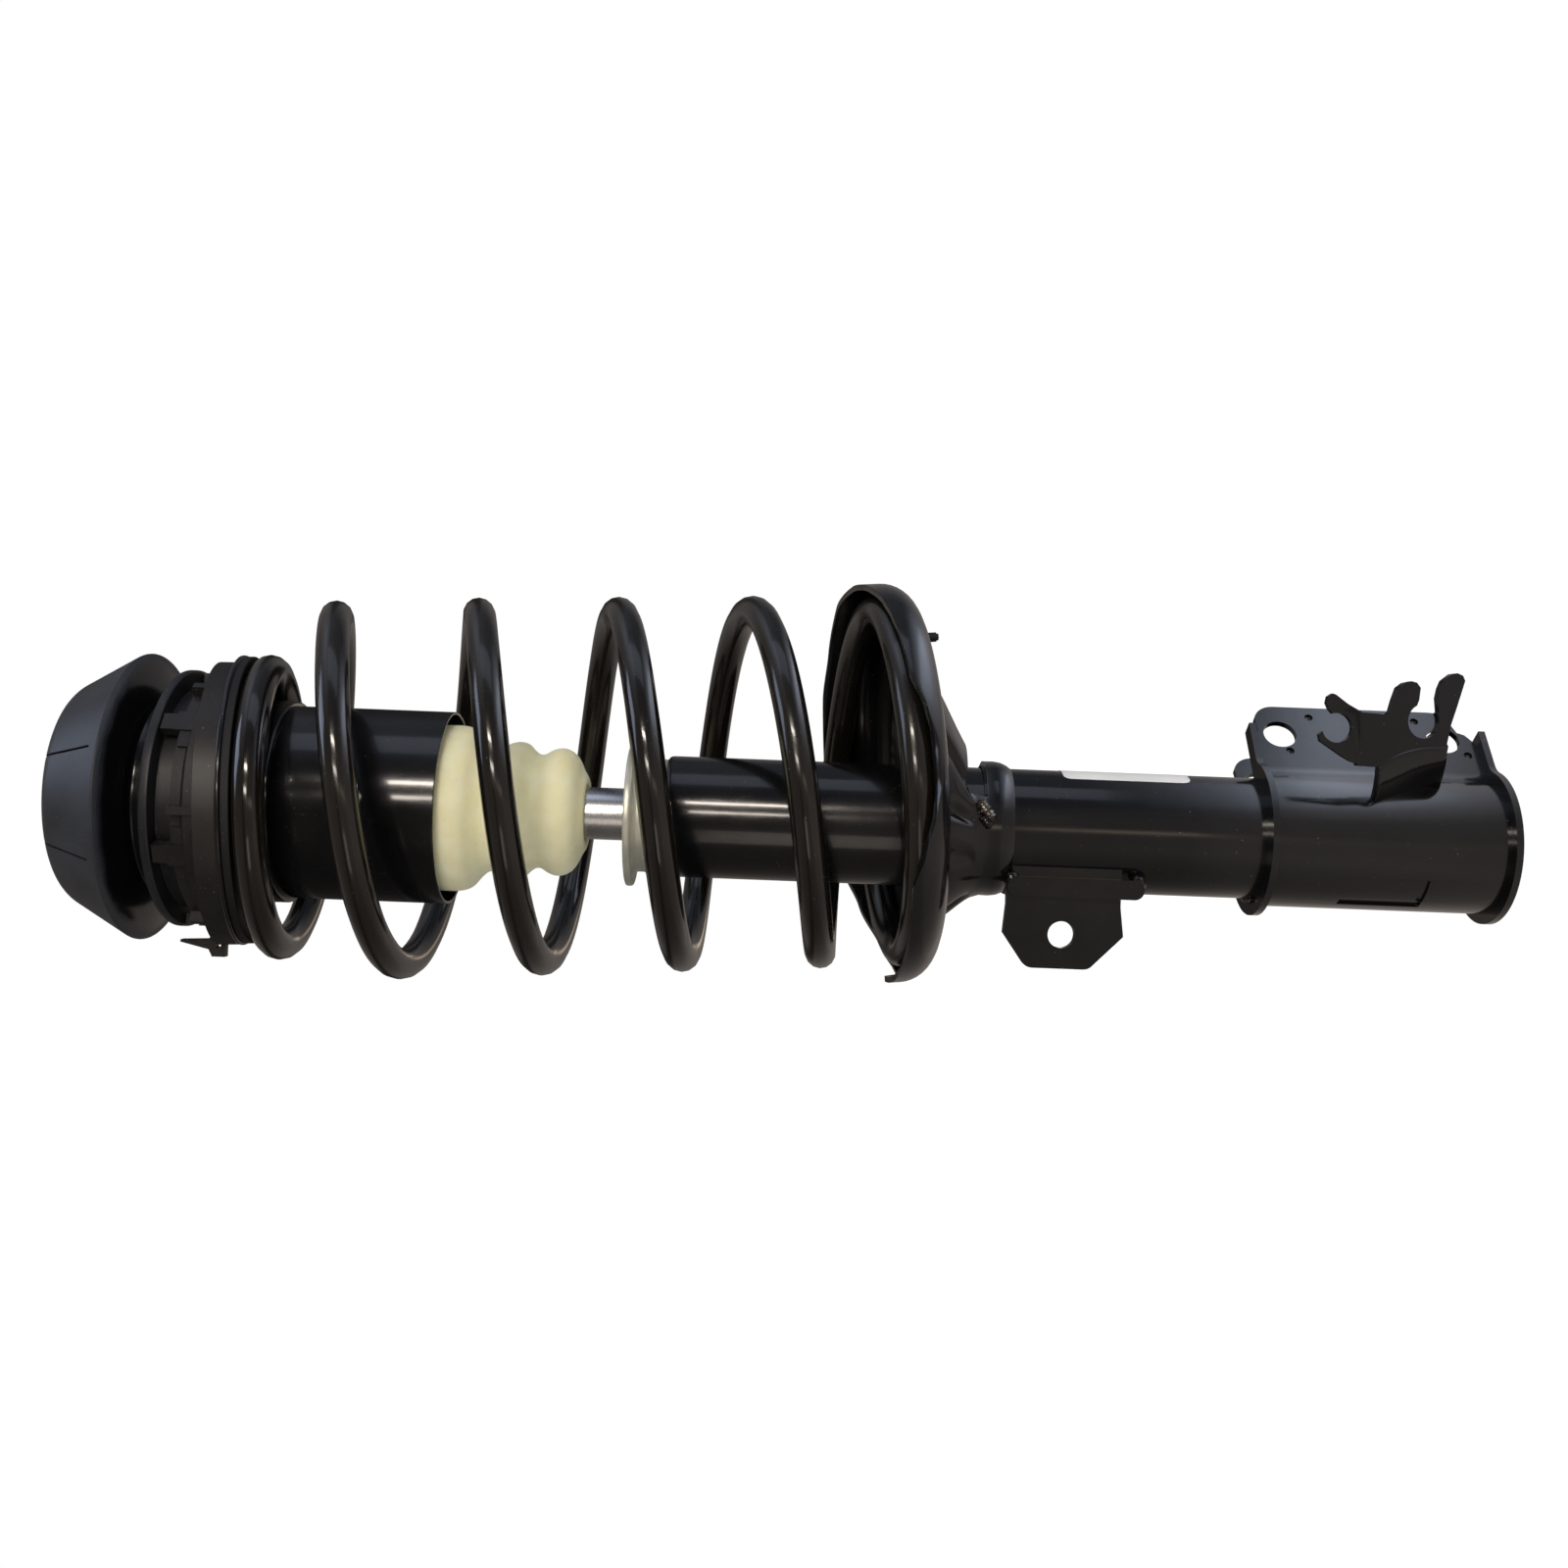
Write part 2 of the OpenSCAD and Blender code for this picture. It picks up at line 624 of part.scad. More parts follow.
module base_valve() {
    foot_slots = 4;
    color([0.55, 0.5, 0.4]) difference() {
        union() {
            translate([0, 0, base_low_z + base_foot_h]) cylinder(r = bore_r, h = base_valve_h - base_foot_h);
            translate([0, 0, base_low_z]) cylinder(r = inner_r, h = base_foot_h);
        }
        translate([0, 0, base_low_z - 1]) cylinder(r = bore_r - 5, h = base_foot_h);
        for (i = [0 : foot_slots - 1]) rotate(i * 360 / foot_slots) {
            translate([0, -3, base_low_z - 1]) cube([inner_r + 2, 6, base_foot_h - 1]);
            translate([bore_r - 8, 0, base_low_z]) cylinder(r = 1.5, h = base_valve_h + 1, $fn = 24);
        }
    }
}

module rod_guide() {
    bush_r = rod_r + bushing_t;
    color([0.5, 0.48, 0.45]) difference() {
        union() {
            translate([0, 0, guide_low_z]) cylinder(r = tube_in_r, h = guide_h);
            translate([0, 0, guide_low_z - guide_spigot_h]) cylinder(r = bore_r, h = guide_h);
        }
        translate([0, 0, guide_low_z - guide_spigot_h - 1]) cylinder(r = bush_r, h = guide_h + guide_spigot_h + 2);
    }
}

module rod_bushing()
    color([0.45, 0.42, 0.3]) ring(rod_r + bushing_t, rod_r + run_clear, guide_low_z - guide_spigot_h, guide_top_z);

module rod_seal()
    color([0.16, 0.14, 0.13]) ring(tube_in_r, rod_r + run_clear, guide_top_z, tube_top_z - roll_t);

module striker_cap() {
    flange_t = 3;
    skirt_r = tube_r - 1.6;
    bead_z = tube_top_z + 6;
    color([0.76, 0.77, 0.74]) rotate_extrude() polygon([
        [rod_r + free_clear, striker_top_z - flange_t], [rod_r + free_clear, striker_top_z],
        [striker_r - 0.6, striker_top_z], [striker_r, striker_top_z - 0.6],
        [striker_r, striker_top_z - flange_t], [skirt_r, striker_top_z - flange_t],
        [skirt_r, bead_z + 2], [skirt_r + 3, bead_z + 1.2], [skirt_r + 3, bead_z], [skirt_r, bead_z],
        [skirt_r, tube_top_z], [skirt_r - 2, tube_top_z],
        [skirt_r - 2, striker_top_z - flange_t]]);
}

// ---- lower spring seat ---------------------------------------------------------------------------

seat_bend = 14;               // outer radius of the bend from floor to rim
hub_hole_r = coil_r - 16.25;   // the floor's opening, where the support rises into it
hub_shift = [-4, -6];
drain_angle = 62;

// the region above the rim's wavy edge, by X across the seat and height over its floor
module rim_cut(points, side) {
    reach = seat_r + 10;
    rotate([90, 0, 0]) translate([0, 0, side > 0 ? -reach : 0])
        linear_extrude(reach) polygon(concat(points, [[-reach, seat_wall_h + 20], [reach, seat_wall_h + 20]]));
}

// places as shares of the rim's radius, heights as shares of the tallest wall
function rim_points(shares) = [for (p = shares) [p[0] * seat_r, p[1] * seat_wall_h]];

module seat_rim() {
    bend_in = seat_bend - seat_t;
    difference() {
        rotate_extrude() polygon(concat(
            [[seat_r - seat_bend - 1, 0], [seat_r - seat_bend - 1, -seat_t]],
            arc([seat_r - seat_bend, seat_bend - seat_t], seat_bend, -90, 0, 8),
            [[seat_r, seat_wall_h], [seat_r - seat_t, seat_wall_h]],
            arc([seat_r - seat_bend, seat_bend - seat_t], bend_in, 0, -90, 8)));
        // the side that faces the tab is cut low, the far side stays tall
        rim_cut(rim_points([[1.1, 0.75], [1, 0.74], [0.966, 0.62], [0.883, 0.528], [0.788, 0.476],
            [0.669, 0.42], [0.5, 0.376], [0.342, 0.2], [0.174, 0.08], [0, 0.075], [-0.139, 0.159],
            [-0.309, 0.317], [-0.5, 0.5], [-0.707, 0.483], [-0.866, 0.5], [-1, 0.57], [-1.1, 0.57]]), -1);
        rim_cut(rim_points([[1.1, 0.74], [1, 0.74], [0.94, 0.876], [0.707, 0.924], [0.485, 0.99],
            [0.139, 0.986], [-0.242, 0.931], [-0.469, 0.81], [-0.669, 0.62], [-0.866, 0.414], [-1, 0.328],
            [-1.1, 0.328]]), 1);
    }
}

module lower_spring_seat() {
    drain_w = 8;
    drain_l = 12;
    color([0.05, 0.05, 0.06]) on_low_seat() difference() {
        union() {
            translate([0, 0, -seat_t]) cylinder(r = seat_r - seat_bend, h = seat_t);
            seat_rim();
        }
        translate([hub_shift[0], hub_shift[1], -seat_t - 1]) cylinder(r = hub_hole_r, h = seat_t + 2);
        rotate(drain_angle) translate([coil_r - 0.75, 0, -seat_t - 1]) for (s = [-1, 1])
            translate([0, s * drain_l / 4, 0]) cylinder(r = drain_w / 2, h = seat_t + 2, $fn = 32);
        rotate(nub_angle) translate([coil_r + nub_out, 0, -seat_t - 1]) cylinder(r = nub_r + 0.1, h = seat_t + 2, $fn = 32);
    }
}

module support_cone(grow) {
    hull() {
        on_low_seat() translate([hub_shift[0], hub_shift[1], -seat_t])
            cylinder(r = hub_hole_r + grow, h = seat_t, $fn = 32);
        translate([0, 0, collar_top_z]) cylinder(r = collar_r - seat_t + grow, h = 1, $fn = 32);
    }
}

module seat_support() {
    color([0.05, 0.05, 0.06]) difference() {
        union() {
            difference() {
                support_cone(0);
                translate([0, 0, 2]) support_cone(-seat_t);
                // three folds between the arms of the pressing
                for (a = [70, 130, 330]) rotate(a) translate([collar_r + 6, 0, seat_plane_z - 40])
                    cylinder(r = 7, h = 60, $fn = 32);
            }
            translate([0, 0, collar_top_z - collar_h]) cylinder(r = collar_r, h = collar_h + 1);
        }
        translate([0, 0, collar_top_z - collar_h - 1]) cylinder(r = tube_r, h = 80);
    }
}

nub_angle = 30;
nub_out = 2;
nub_r = 2.2;
nub_len = 21;

// rubber pad under the last turn of the wire, with a nub through the seat's floor
module lower_isolator() {
    half_w = wire_d / 2 + 1.2;
    bend_in = seat_bend - seat_t;
    edge_angle = -acos((bend_in - isolator_t) / bend_in) * -1 - 90;
    color([0.1, 0.1, 0.1]) on_low_seat() {
        rotate_extrude() polygon(concat(
            [[coil_r - half_w, 0], [seat_r - seat_bend, 0]],
            arc([seat_r - seat_bend, seat_bend - seat_t], seat_bend - seat_t - 0.02, -90, edge_angle, 4),
            [[coil_r - half_w, isolator_t]]));
        rotate(nub_angle) translate([coil_r + nub_out, 0, -nub_len]) {
            cylinder(r = nub_r, h = nub_len + 1, $fn = 32);
            translate([0, 0, -1]) cylinder(r = nub_r - 0.6, h = 1 + eps, $fn = 32);
        }
    }
}

// ---- coil spring ------------------------------------------------------------------------------------

function unit(v) = v / norm(v);
coil_rings = ceil((last_turn - first_turn) * rings_per_turn);
function ring_turn(i) = first_turn + (last_turn - first_turn) * i / coil_rings;
coil_path = [for (i = [0 : coil_rings]) coil_point(ring_turn(i))];

// least distance between the surfaces of two turns, measured on the rings' centres
far_apart = floor(rings_per_turn / 2);
least_gap = min([for (i = [0 : coil_rings - far_apart]) for (j = [i + far_apart : min(coil_rings, i + 2 * rings_per_turn)])
    norm(coil_path[i] - coil_path[j])]) - wire_d;

module coil_spring() {
    echo(least_gap_between_turns_mm = least_gap);
    ahead = function(i) unit(coil_path[min(i + 1, coil_rings)] - coil_path[max(i - 1, 0)]);
    points = [for (i = [0 : coil_rings])
        let(along = ahead(i), out = unit(cross(along, [0, 0, 1])), up = cross(out, along))
        for (k = [0 : wire_sides - 1])
            let(a = 360 * k / wire_sides)
            coil_path[i] + wire_d / 2 * (cos(a) * out + sin(a) * up)];
    last = coil_rings * wire_sides;
    faces = concat(
        [for (i = [0 : coil_rings - 1]) for (k = [0 : wire_sides - 1])
            let(a = i * wire_sides + k, b = i * wire_sides + (k + 1) % wire_sides)
            for (f = [[a, b, a + wire_sides], [b, b + wire_sides, a + wire_sides]]) f],
        [for (k = [1 : wire_sides - 2]) [0, k + 1, k]],
        [for (k = [1 : wire_sides - 2]) [last, last + k, last + k + 1]]);
    color([0.05, 0.05, 0.05]) polyhedron(points = points, faces = faces);
}

// ---- sway bar tab --------------------------------------------------------------------------------------

tab_face_y = -21;             // the tab's near face, towards -Y
saddle_z = tab_z - 5;         // the middle of the saddle's length

module sway_bar_tab() {
    drop = 56;                // how far the tab reaches from the axis
    round_r = 5;
    flange_l = tab_w + 7;
    top = tab_z + tab_w / 2 - 1;
    low = tab_z - tab_w / 2 - 1;
    color([0.05, 0.05, 0.06]) {
        difference() {
            union() {
                // the plate, outline in X and Z, its lower corners cut off and rounded
                translate([0, tab_face_y + tab_t, 0]) rotate([90, 0, 0]) linear_extrude(tab_t)
                    polygon(concat(
                        [[-14, top], [-30, top - 0.5], [-tab_hole_x, top + 0.5]],
                        arc([round_r - drop, top - 12], round_r, 125, 180, 5),
                        arc([round_r - drop, low + 16], round_r, 180, 232, 5),
                        [[-tab_hole_x, low], [-30, low + 1.5], [-14, low + 1.5]]));
                // the saddle that lies along the tube, with round ends
                translate([0, tab_face_y - 1.2, 0]) rotate([90, 0, 0]) linear_extrude(3.2, center = true)
                    for (s = [0, 1]) hull_bar(flange_l, s);
            }
            translate([-tab_hole_x, tab_face_y - 5, tab_z]) rotate([-90, 0, 0]) cylinder(r = tab_hole_d / 2, h = 20);
            translate([0, 0, tab_z - 60]) cylinder(r = tube_r, h = 120);
            collar_space();
        }
        // weld beads at both ends of the saddle
        difference() {
            for (s = [-1, 1]) translate([-19.5, tab_face_y + 1.5, saddle_z + s * (flange_l / 2 - 2)])
                sphere(r = 3.6, $fn = 32);
            translate([0, 0, tab_z - 60]) cylinder(r = tube_r, h = 120);
            collar_space();
        }
    }
}

// the tab and its welds end at the collar
module collar_space() translate([0, 0, collar_top_z - collar_h - run_clear])
    cylinder(r = collar_r + run_clear, h = collar_h + 1);

// half of the saddle's outline: a straight bar, or the round at its lower end
module hull_bar(length, part) {
    width = 8;
    across = -22.6;
    if (part == 0) translate([across - width / 2, saddle_z - (length - width) / 2]) square([width, length - width]);
    else for (s = [-1, 1]) translate([across, saddle_z + s * (length - width) / 2]) circle(r = width / 2, $fn = 48);
}

// ---- knuckle bracket -----------------------------------------------------------------------------------

// outer outline of the sleeve and its two ears, grown by e; ears point along +X here
function bracket_side(e) =
    let(r = sleeve_r + e, v = ear_out + e, f = root_fillet_r,
        uf = sqrt(pow(r + f, 2) - pow(v + f, 2)), touch = atan2(v + f, uf))
    concat([[ear_reach, v]], arc([uf, v + f], f, -90, touch - 180, 6), arc([0, 0], r, touch, 180, 28));

module bracket_outline(e) {
    side = bracket_side(e);
    count = len(side);
    polygon(concat(side, [for (i = [count - 2 : -1 : 0]) [side[i][0], -side[i][1]]]));
}

// the ears seen from the side: X is the distance from the axis, Y the height
module ear_profile() {
    top = bracket_top_z;
    low = bracket_low_z;
    polygon(concat(
        [[-50, low], [sleeve_r + 8, low], [sleeve_r + 17, low + 7], [ear_reach - 11, bolt_low_z - 7]],
        arc([ear_reach - 9, bolt_low_z + 3], 9, -50, 0, 5),
        arc([ear_reach - 9, bolt_top_z + 1], 9, 0, 75, 7),
        [[sleeve_r + 15, top - 5], [sleeve_r + 12, top], [-50, top]]));
}

module bracket_lip(z0) {
    linear_extrude_from(z0, bracket_t) intersection() {
        bracket_outline(lip_h);
        polygon([[-60, -60], [sleeve_r + 16, -60], [sleeve_r + 16, 0], [sleeve_r + 7, 0], [sleeve_r + 7, 60],
            [-60, 60]]);
    }
}

module linear_extrude_from(z0, h) translate([0, 0, z0]) linear_extrude(h) children();

module knuckle_bracket() {
    nib_r = 1.8;
    step_depth = 1.2;
    color([0.05, 0.05, 0.06]) rotate(ear_angle) difference() {
        union() {
            intersection() {
                linear_extrude_from(bracket_low_z, bracket_h) bracket_outline(0);
                rotate([90, 0, 0]) linear_extrude(2 * sleeve_r + 10, center = true) ear_profile();
            }
            bracket_lip(bracket_low_z);
            bracket_lip(bracket_top_z - bracket_t);
        }
        // the tube's seat and the knuckle's slot
        translate([0, 0, bracket_low_z - 1]) cylinder(r = tube_r, h = bracket_h + 2);
        translate([0, -ear_in, bracket_low_z - 1]) cube([ear_reach + 10, ear_gap, bracket_h + 2]);
        for (z = [bolt_low_z, bolt_top_z]) translate([bolt_rho, 0, z]) rotate([90, 0, 0])
            cylinder(r = bolt_d / 2, h = 80, center = true);
        // locating nibs pressed through the near ear
        for (p = [[52, bolt_top_z - 14], [33, bolt_top_z - 3], [52, bolt_low_z + 10.3], [34, bolt_low_z - 9]])
            translate([p[0], -ear_in, p[1]]) rotate([90, 0, 0]) cylinder(r = nib_r, h = 20, $fn = 24);
        // the pressed step in the sleeve's lower front
        rotate(-ear_angle) {
            step_cut(205, 216, bracket_low_z + 34, bracket_low_z + 68, step_depth);
            step_cut(216, 240, bracket_low_z + 34, bracket_low_z + 37, step_depth);
        }
    }
}

// a shallow cut in the sleeve's face between two angles and two heights
module step_cut(a0, a1, z0, z1, depth) {
    translate([0, 0, z0]) rotate(a0) rotate_extrude(angle = a1 - a0)
        translate([sleeve_r - depth, 0]) square([depth + 2, z1 - z0]);
}

// ---- hose bracket --------------------------------------------------------------------------------------

roll = 2.2;                   // how far the face's own upright leans from +X, about Y
face_turn = 12;               // how far the face is turned away from the -Y side
face_origin = [31.7, -30, bracket_low_z + 67.3];
hook_centre = [-9, 15.3];
slot_centre = [28.5, 18.1];

// children drawn flat: X runs down the strut, Y away from it, Z towards the viewer's side
module on_face(turn) translate(face_origin) rotate([turn, 0, 0]) rotate([0, -roll, 0])
    rotate([90, 90, 0]) children();

// a point of the face, where u runs down the strut and v away from it
function on_face_point(u, v) =
    let(across = u * sin(roll) + v * cos(roll), down = u * cos(roll) - v * sin(roll))
    face_origin + [across, down * sin(face_turn), -down * cos(face_turn)];

module wire_fork() {
    difference() {
        polygon([
            [-1, 0], [7, -0.6], [9.5, 0], [13, 3.2], [19, 5.6], [28, 7.7], [39, 7.8], [41, 16.5],
            [44, 24.7], [47.5, 34.8], [46.5, 36.9], [44, 37.9], [41.5, 37.6], [37.5, 34.8], [36, 31.7],
            [35, 27.6], [35.5, 22], [28, 17], [24, 21], [26.5, 26.7], [27.2, 31.7], [25.5, 33.8],
            [23, 34.4], [20, 33.8], [17, 31.7], [15, 26.7], [13.5, 22], [12, 20.6], [9, 21], [-1, 21.7]]);
        translate(slot_centre) circle(r = slot_d / 2, $fn = 48);
    }
}

module hose_hook() {
    difference() {
        polygon([
            [1, 21.7], [-4.5, 24.9], [-9.5, 28.8], [-10.9, 29.2], [-12.7, 28], [-13.3, 25.3], [-12.2, 22.8],
            [-9, 19], [-9, 12], [-13.1, 13.8], [-14.9, 14], [-16.3, 12.7], [-15.8, 10], [-11.8, 7.2],
            [-7.2, 4], [-3.6, 1.8], [1, 0]]);
        translate(hook_centre) circle(r = hook_d / 2, $fn = 48);
    }
}

// the leg's upper edge follows the face's arch, its lower edge the weld on the sleeve
leg_arch = [[9.5, 0], [13, 3.2], [19, 5.6], [28, 7.7], [39, 7.8]];
weld_from = [18, -22.2, bracket_low_z + 57.5];
weld_to = [27.8, -6, bracket_low_z + 25];

module strip(a, b, c, d, r) {
    hull() for (p = [a, b, c, d]) translate(p) sphere(r = r, $fn = 16);
}

module hose_bracket() {
    last = len(leg_arch) - 1;
    weld_r = 2.2;
    color([0.05, 0.05, 0.06]) difference() {
        union() {
            on_face(face_turn) linear_extrude(hose_t, center = true) wire_fork();
            on_face(0) linear_extrude(hose_t, center = true) hose_hook();
            for (i = [0 : last - 1])
                let(a = on_face_point(leg_arch[i][0], leg_arch[i][1]),
                    b = on_face_point(leg_arch[i + 1][0], leg_arch[i + 1][1]),
                    c = weld_from + (weld_to - weld_from) * i / last,
                    d = weld_from + (weld_to - weld_from) * (i + 1) / last)
                strip(a, b, c, d, hose_t / 2);
            hull() for (p = [weld_from, weld_to]) translate(p) sphere(r = weld_r, $fn = 16);
        }
        // it stands on the outside of the bracket's sleeve and near ear
        rotate(ear_angle) linear_extrude_from(bracket_low_z - 1, bracket_h + 2) bracket_outline(0);
        translate([0, 0, bracket_low_z - 1]) cylinder(r = sleeve_r, h = bracket_h + 2);
    }
}

mount_rubber();
mount_core();
mount_washer();
mount_nut();
bearing_cap();
piston_rod();
rebound_stop();
stop_ring();
piston();
piston_band();
valve_discs();
piston_nut();
bearing_housing();
bearing_cage();
bearing_balls();
upper_spring_seat();
upper_isolator();
dust_tube();
bump_stop();
strut_tube();
bottom_cap();
inner_tube();
base_valve();
rod_guide();
rod_bushing();
rod_seal();
striker_cap();
lower_spring_seat();
seat_support();
lower_isolator();
coil_spring();
sway_bar_tab();
knuckle_bracket();
hose_bracket();
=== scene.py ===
import bpy
import bmesh
import json
import math
import random
from mathutils import Matrix, Vector, kdtree, noise
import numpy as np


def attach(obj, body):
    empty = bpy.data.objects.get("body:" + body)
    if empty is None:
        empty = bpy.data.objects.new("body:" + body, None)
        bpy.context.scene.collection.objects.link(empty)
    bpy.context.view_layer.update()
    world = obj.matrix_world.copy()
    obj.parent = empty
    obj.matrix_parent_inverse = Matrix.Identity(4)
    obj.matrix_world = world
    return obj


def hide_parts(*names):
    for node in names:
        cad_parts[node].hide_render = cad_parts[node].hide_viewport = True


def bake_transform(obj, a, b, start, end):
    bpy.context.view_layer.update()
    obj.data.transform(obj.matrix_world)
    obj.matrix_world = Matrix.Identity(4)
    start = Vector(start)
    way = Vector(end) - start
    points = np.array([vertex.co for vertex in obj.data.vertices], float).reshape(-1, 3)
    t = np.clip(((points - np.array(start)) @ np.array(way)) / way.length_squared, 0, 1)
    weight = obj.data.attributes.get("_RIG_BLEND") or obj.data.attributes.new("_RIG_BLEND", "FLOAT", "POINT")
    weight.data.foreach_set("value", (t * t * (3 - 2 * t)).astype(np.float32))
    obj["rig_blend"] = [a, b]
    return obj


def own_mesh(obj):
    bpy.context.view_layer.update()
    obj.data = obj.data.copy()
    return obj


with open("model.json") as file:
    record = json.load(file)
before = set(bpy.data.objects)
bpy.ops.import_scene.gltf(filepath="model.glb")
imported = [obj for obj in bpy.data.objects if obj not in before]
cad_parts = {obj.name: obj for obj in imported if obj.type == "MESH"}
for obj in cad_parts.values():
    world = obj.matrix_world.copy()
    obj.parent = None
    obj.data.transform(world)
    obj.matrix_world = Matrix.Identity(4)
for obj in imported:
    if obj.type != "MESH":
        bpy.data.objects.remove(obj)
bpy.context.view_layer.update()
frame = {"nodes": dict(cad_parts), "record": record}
print("stage: frame loaded")

mm = 0.001
nodes = frame["nodes"]


def linear(hexColour, alpha=1.0):
    # sRGB hex to Blender's linear colour
    parts = [int(hexColour[i:i + 2], 16) / 255 for i in (1, 3, 5)]
    parts = [c / 12.92 if c <= 0.04045 else ((c + 0.055) / 1.055) ** 2.4 for c in parts]
    return (*parts, alpha)


def mix(a, b, share):
    return a + (b - a) * share


def clamp01(x):
    return max(0.0, min(1.0, x))


def smooth(x):
    u = clamp01(x)
    return u * u * (3 - 2 * u)


def addObject(name, data):
    obj = bpy.data.objects.new(name, data)
    bpy.context.scene.collection.objects.link(obj)
    return obj


# camera, level with the strut's side and rolled so that the axis lies along the frame
cameraSet = {
    "place": (0.01544, -0.684, -0.29392),
    "lens": 37.125,
    "sensor": 36,
    "clip": (0.01, 20),
    "roll": 2.1877,
}


def makeCamera(v):
    data = bpy.data.cameras.new("camera")
    data.lens = v["lens"]
    data.sensor_width = v["sensor"]
    data.clip_start, data.clip_end = v["clip"]
    obj = addObject("camera", data)
    roll = math.radians(v["roll"])
    across = Vector((math.sin(roll), 0, -math.cos(roll)))
    up = Vector((math.cos(roll), 0, math.sin(roll)))
    back = across.cross(up)
    turn = Matrix((across, up, back)).transposed().to_4x4()
    obj.matrix_world = Matrix.Translation(v["place"]) @ turn
    bpy.context.scene.camera = obj


makeCamera(cameraSet)
print("stage: camera")


# materials

def setNode(tree, node, settings):
    # a setting is a ramp's stops, the node's own property, a socket's value, or an output linked to a socket
    for key, value in settings.items():
        if key == "stops":
            elements = node.color_ramp.elements
            while len(elements) < len(value):
                elements.new(0.5)
            for element, (at, tone) in zip(elements, value):
                element.position = at
                element.color = tone if isinstance(tone, tuple) else (tone, tone, tone, 1)
        elif not isinstance(key, int) and key not in node.inputs:
            setattr(node, key, value)
        elif isinstance(value, bpy.types.NodeSocket):
            tree.links.new(value, node.inputs[key])
        else:
            node.inputs[key].default_value = value


def addNode(tree, kind, settings):
    node = tree.nodes.new(kind)
    setNode(tree, node, settings)
    return node


def perLump(sizeMm):
    # a noise's scale for lumps of this size in millimetres
    return 1 / (sizeMm * mm)


def startMaterial(name):
    material = bpy.data.materials.new(name)
    material.use_nodes = True
    tree = material.node_tree
    place = addNode(tree, "ShaderNodeTexCoord", {}).outputs["Object"]
    return material, tree, tree.nodes["Principled BSDF"], place


def patches(tree, place, size, stops, **more):
    # lumps of a size in millimetres, cut into soft-edged patches by the stops
    lumps = addNode(tree, "ShaderNodeTexNoise", {
        "Vector": place, "Scale": perLump(size), **more}).outputs["Fac"]
    return addNode(tree, "ShaderNodeValToRGB", {"Fac": lumps, "stops": stops}).outputs[0]


def baseColour(tree, v, cloud, dust=None):
    # the dark and the light tone in clouds, with dust over them
    base = addNode(tree, "ShaderNodeMix", {
        "data_type": "RGBA", 0: cloud, 6: linear(v["dark"]), 7: linear(v["light"])}).outputs[2]
    if dust is None:
        return base
    amount = addNode(tree, "ShaderNodeMath", {"operation": "MULTIPLY", 0: dust, 1: v["dust"]}).outputs[0]
    return addNode(tree, "ShaderNodeMix", {
        "data_type": "RGBA", 0: amount, 6: base, 7: linear(v["dustColour"])}).outputs[2]


def paint(name, v):
    # enamel over pressed steel: orange peel, slow waves in the film, dust and rubbed patches
    material, tree, principled, place = startMaterial(name)
    haze = patches(tree, place, v["cloud"], [(0.35, 0.0), (0.75, 1.0)], Detail=4)
    dust = patches(tree, place, v["speck"], [(0.735, 0.0), (0.78, 1.0)], Detail=2, Roughness=0.6)
    # fine hairlines, drawn out along the strut
    drawn = addNode(tree, "ShaderNodeMapping", {"Vector": place, "Scale": v["hairStretch"]}).outputs[0]
    hairs = patches(tree, drawn, v["hairSize"], [(0.66, 0.0), (0.74, 1.0)], Detail=2)
    rough = v["gloss"]
    for pattern, share in ((haze, v["roughSpread"]), (hairs, v["hair"]), (dust, v["dustRough"])):
        rough = addNode(tree, "ShaderNodeMath", {
            "operation": "MULTIPLY_ADD", 0: pattern, 1: share, 2: rough}).outputs[0]
    relief = {}
    for size, depth in ((v["waveSize"], v["wave"]), (v["peelSize"], v["peel"])):
        height = addNode(tree, "ShaderNodeTexNoise", {
            "Vector": place, "Scale": perLump(size), "Detail": 1}).outputs["Fac"]
        bump = addNode(tree, "ShaderNodeBump", {
            "Strength": 1.0, "Distance": depth * mm, "Height": height, **relief})
        relief = {"Normal": bump.outputs["Normal"]}
    setNode(tree, principled, {
        "Base Color": baseColour(tree, v, haze, dust), "Roughness": rough, "IOR": 1.5,
        "Coat Weight": v["coat"], "Coat Roughness": v["coatRough"], **relief})
    return material


def metal(name, v):
    # bare or plated metal: turned or ground lines round the axis, staining
    material, tree, principled, place = startMaterial(name)
    stain = patches(tree, place, v["cloud"], [(0.3, 0.0), (0.7, 1.0)], Detail=4)
    grind = addNode(tree, "ShaderNodeMapping", {"Vector": place, "Scale": v["stretch"]}).outputs[0]
    grind = addNode(tree, "ShaderNodeTexNoise", {
        "Vector": grind, "Scale": perLump(v["line"]), "Detail": 2}).outputs["Fac"]
    rough = addNode(tree, "ShaderNodeMath", {
        "operation": "MULTIPLY_ADD", 0: grind, 1: v["roughSpread"], 2: v["rough"]}).outputs[0]
    bump = addNode(tree, "ShaderNodeBump", {"Strength": 1.0, "Distance": v["depth"] * mm, "Height": grind})
    setNode(tree, principled, {
        "Base Color": baseColour(tree, v, stain), "Metallic": v["metallic"], "Roughness": rough,
        "Normal": bump.outputs["Normal"]})
    return material


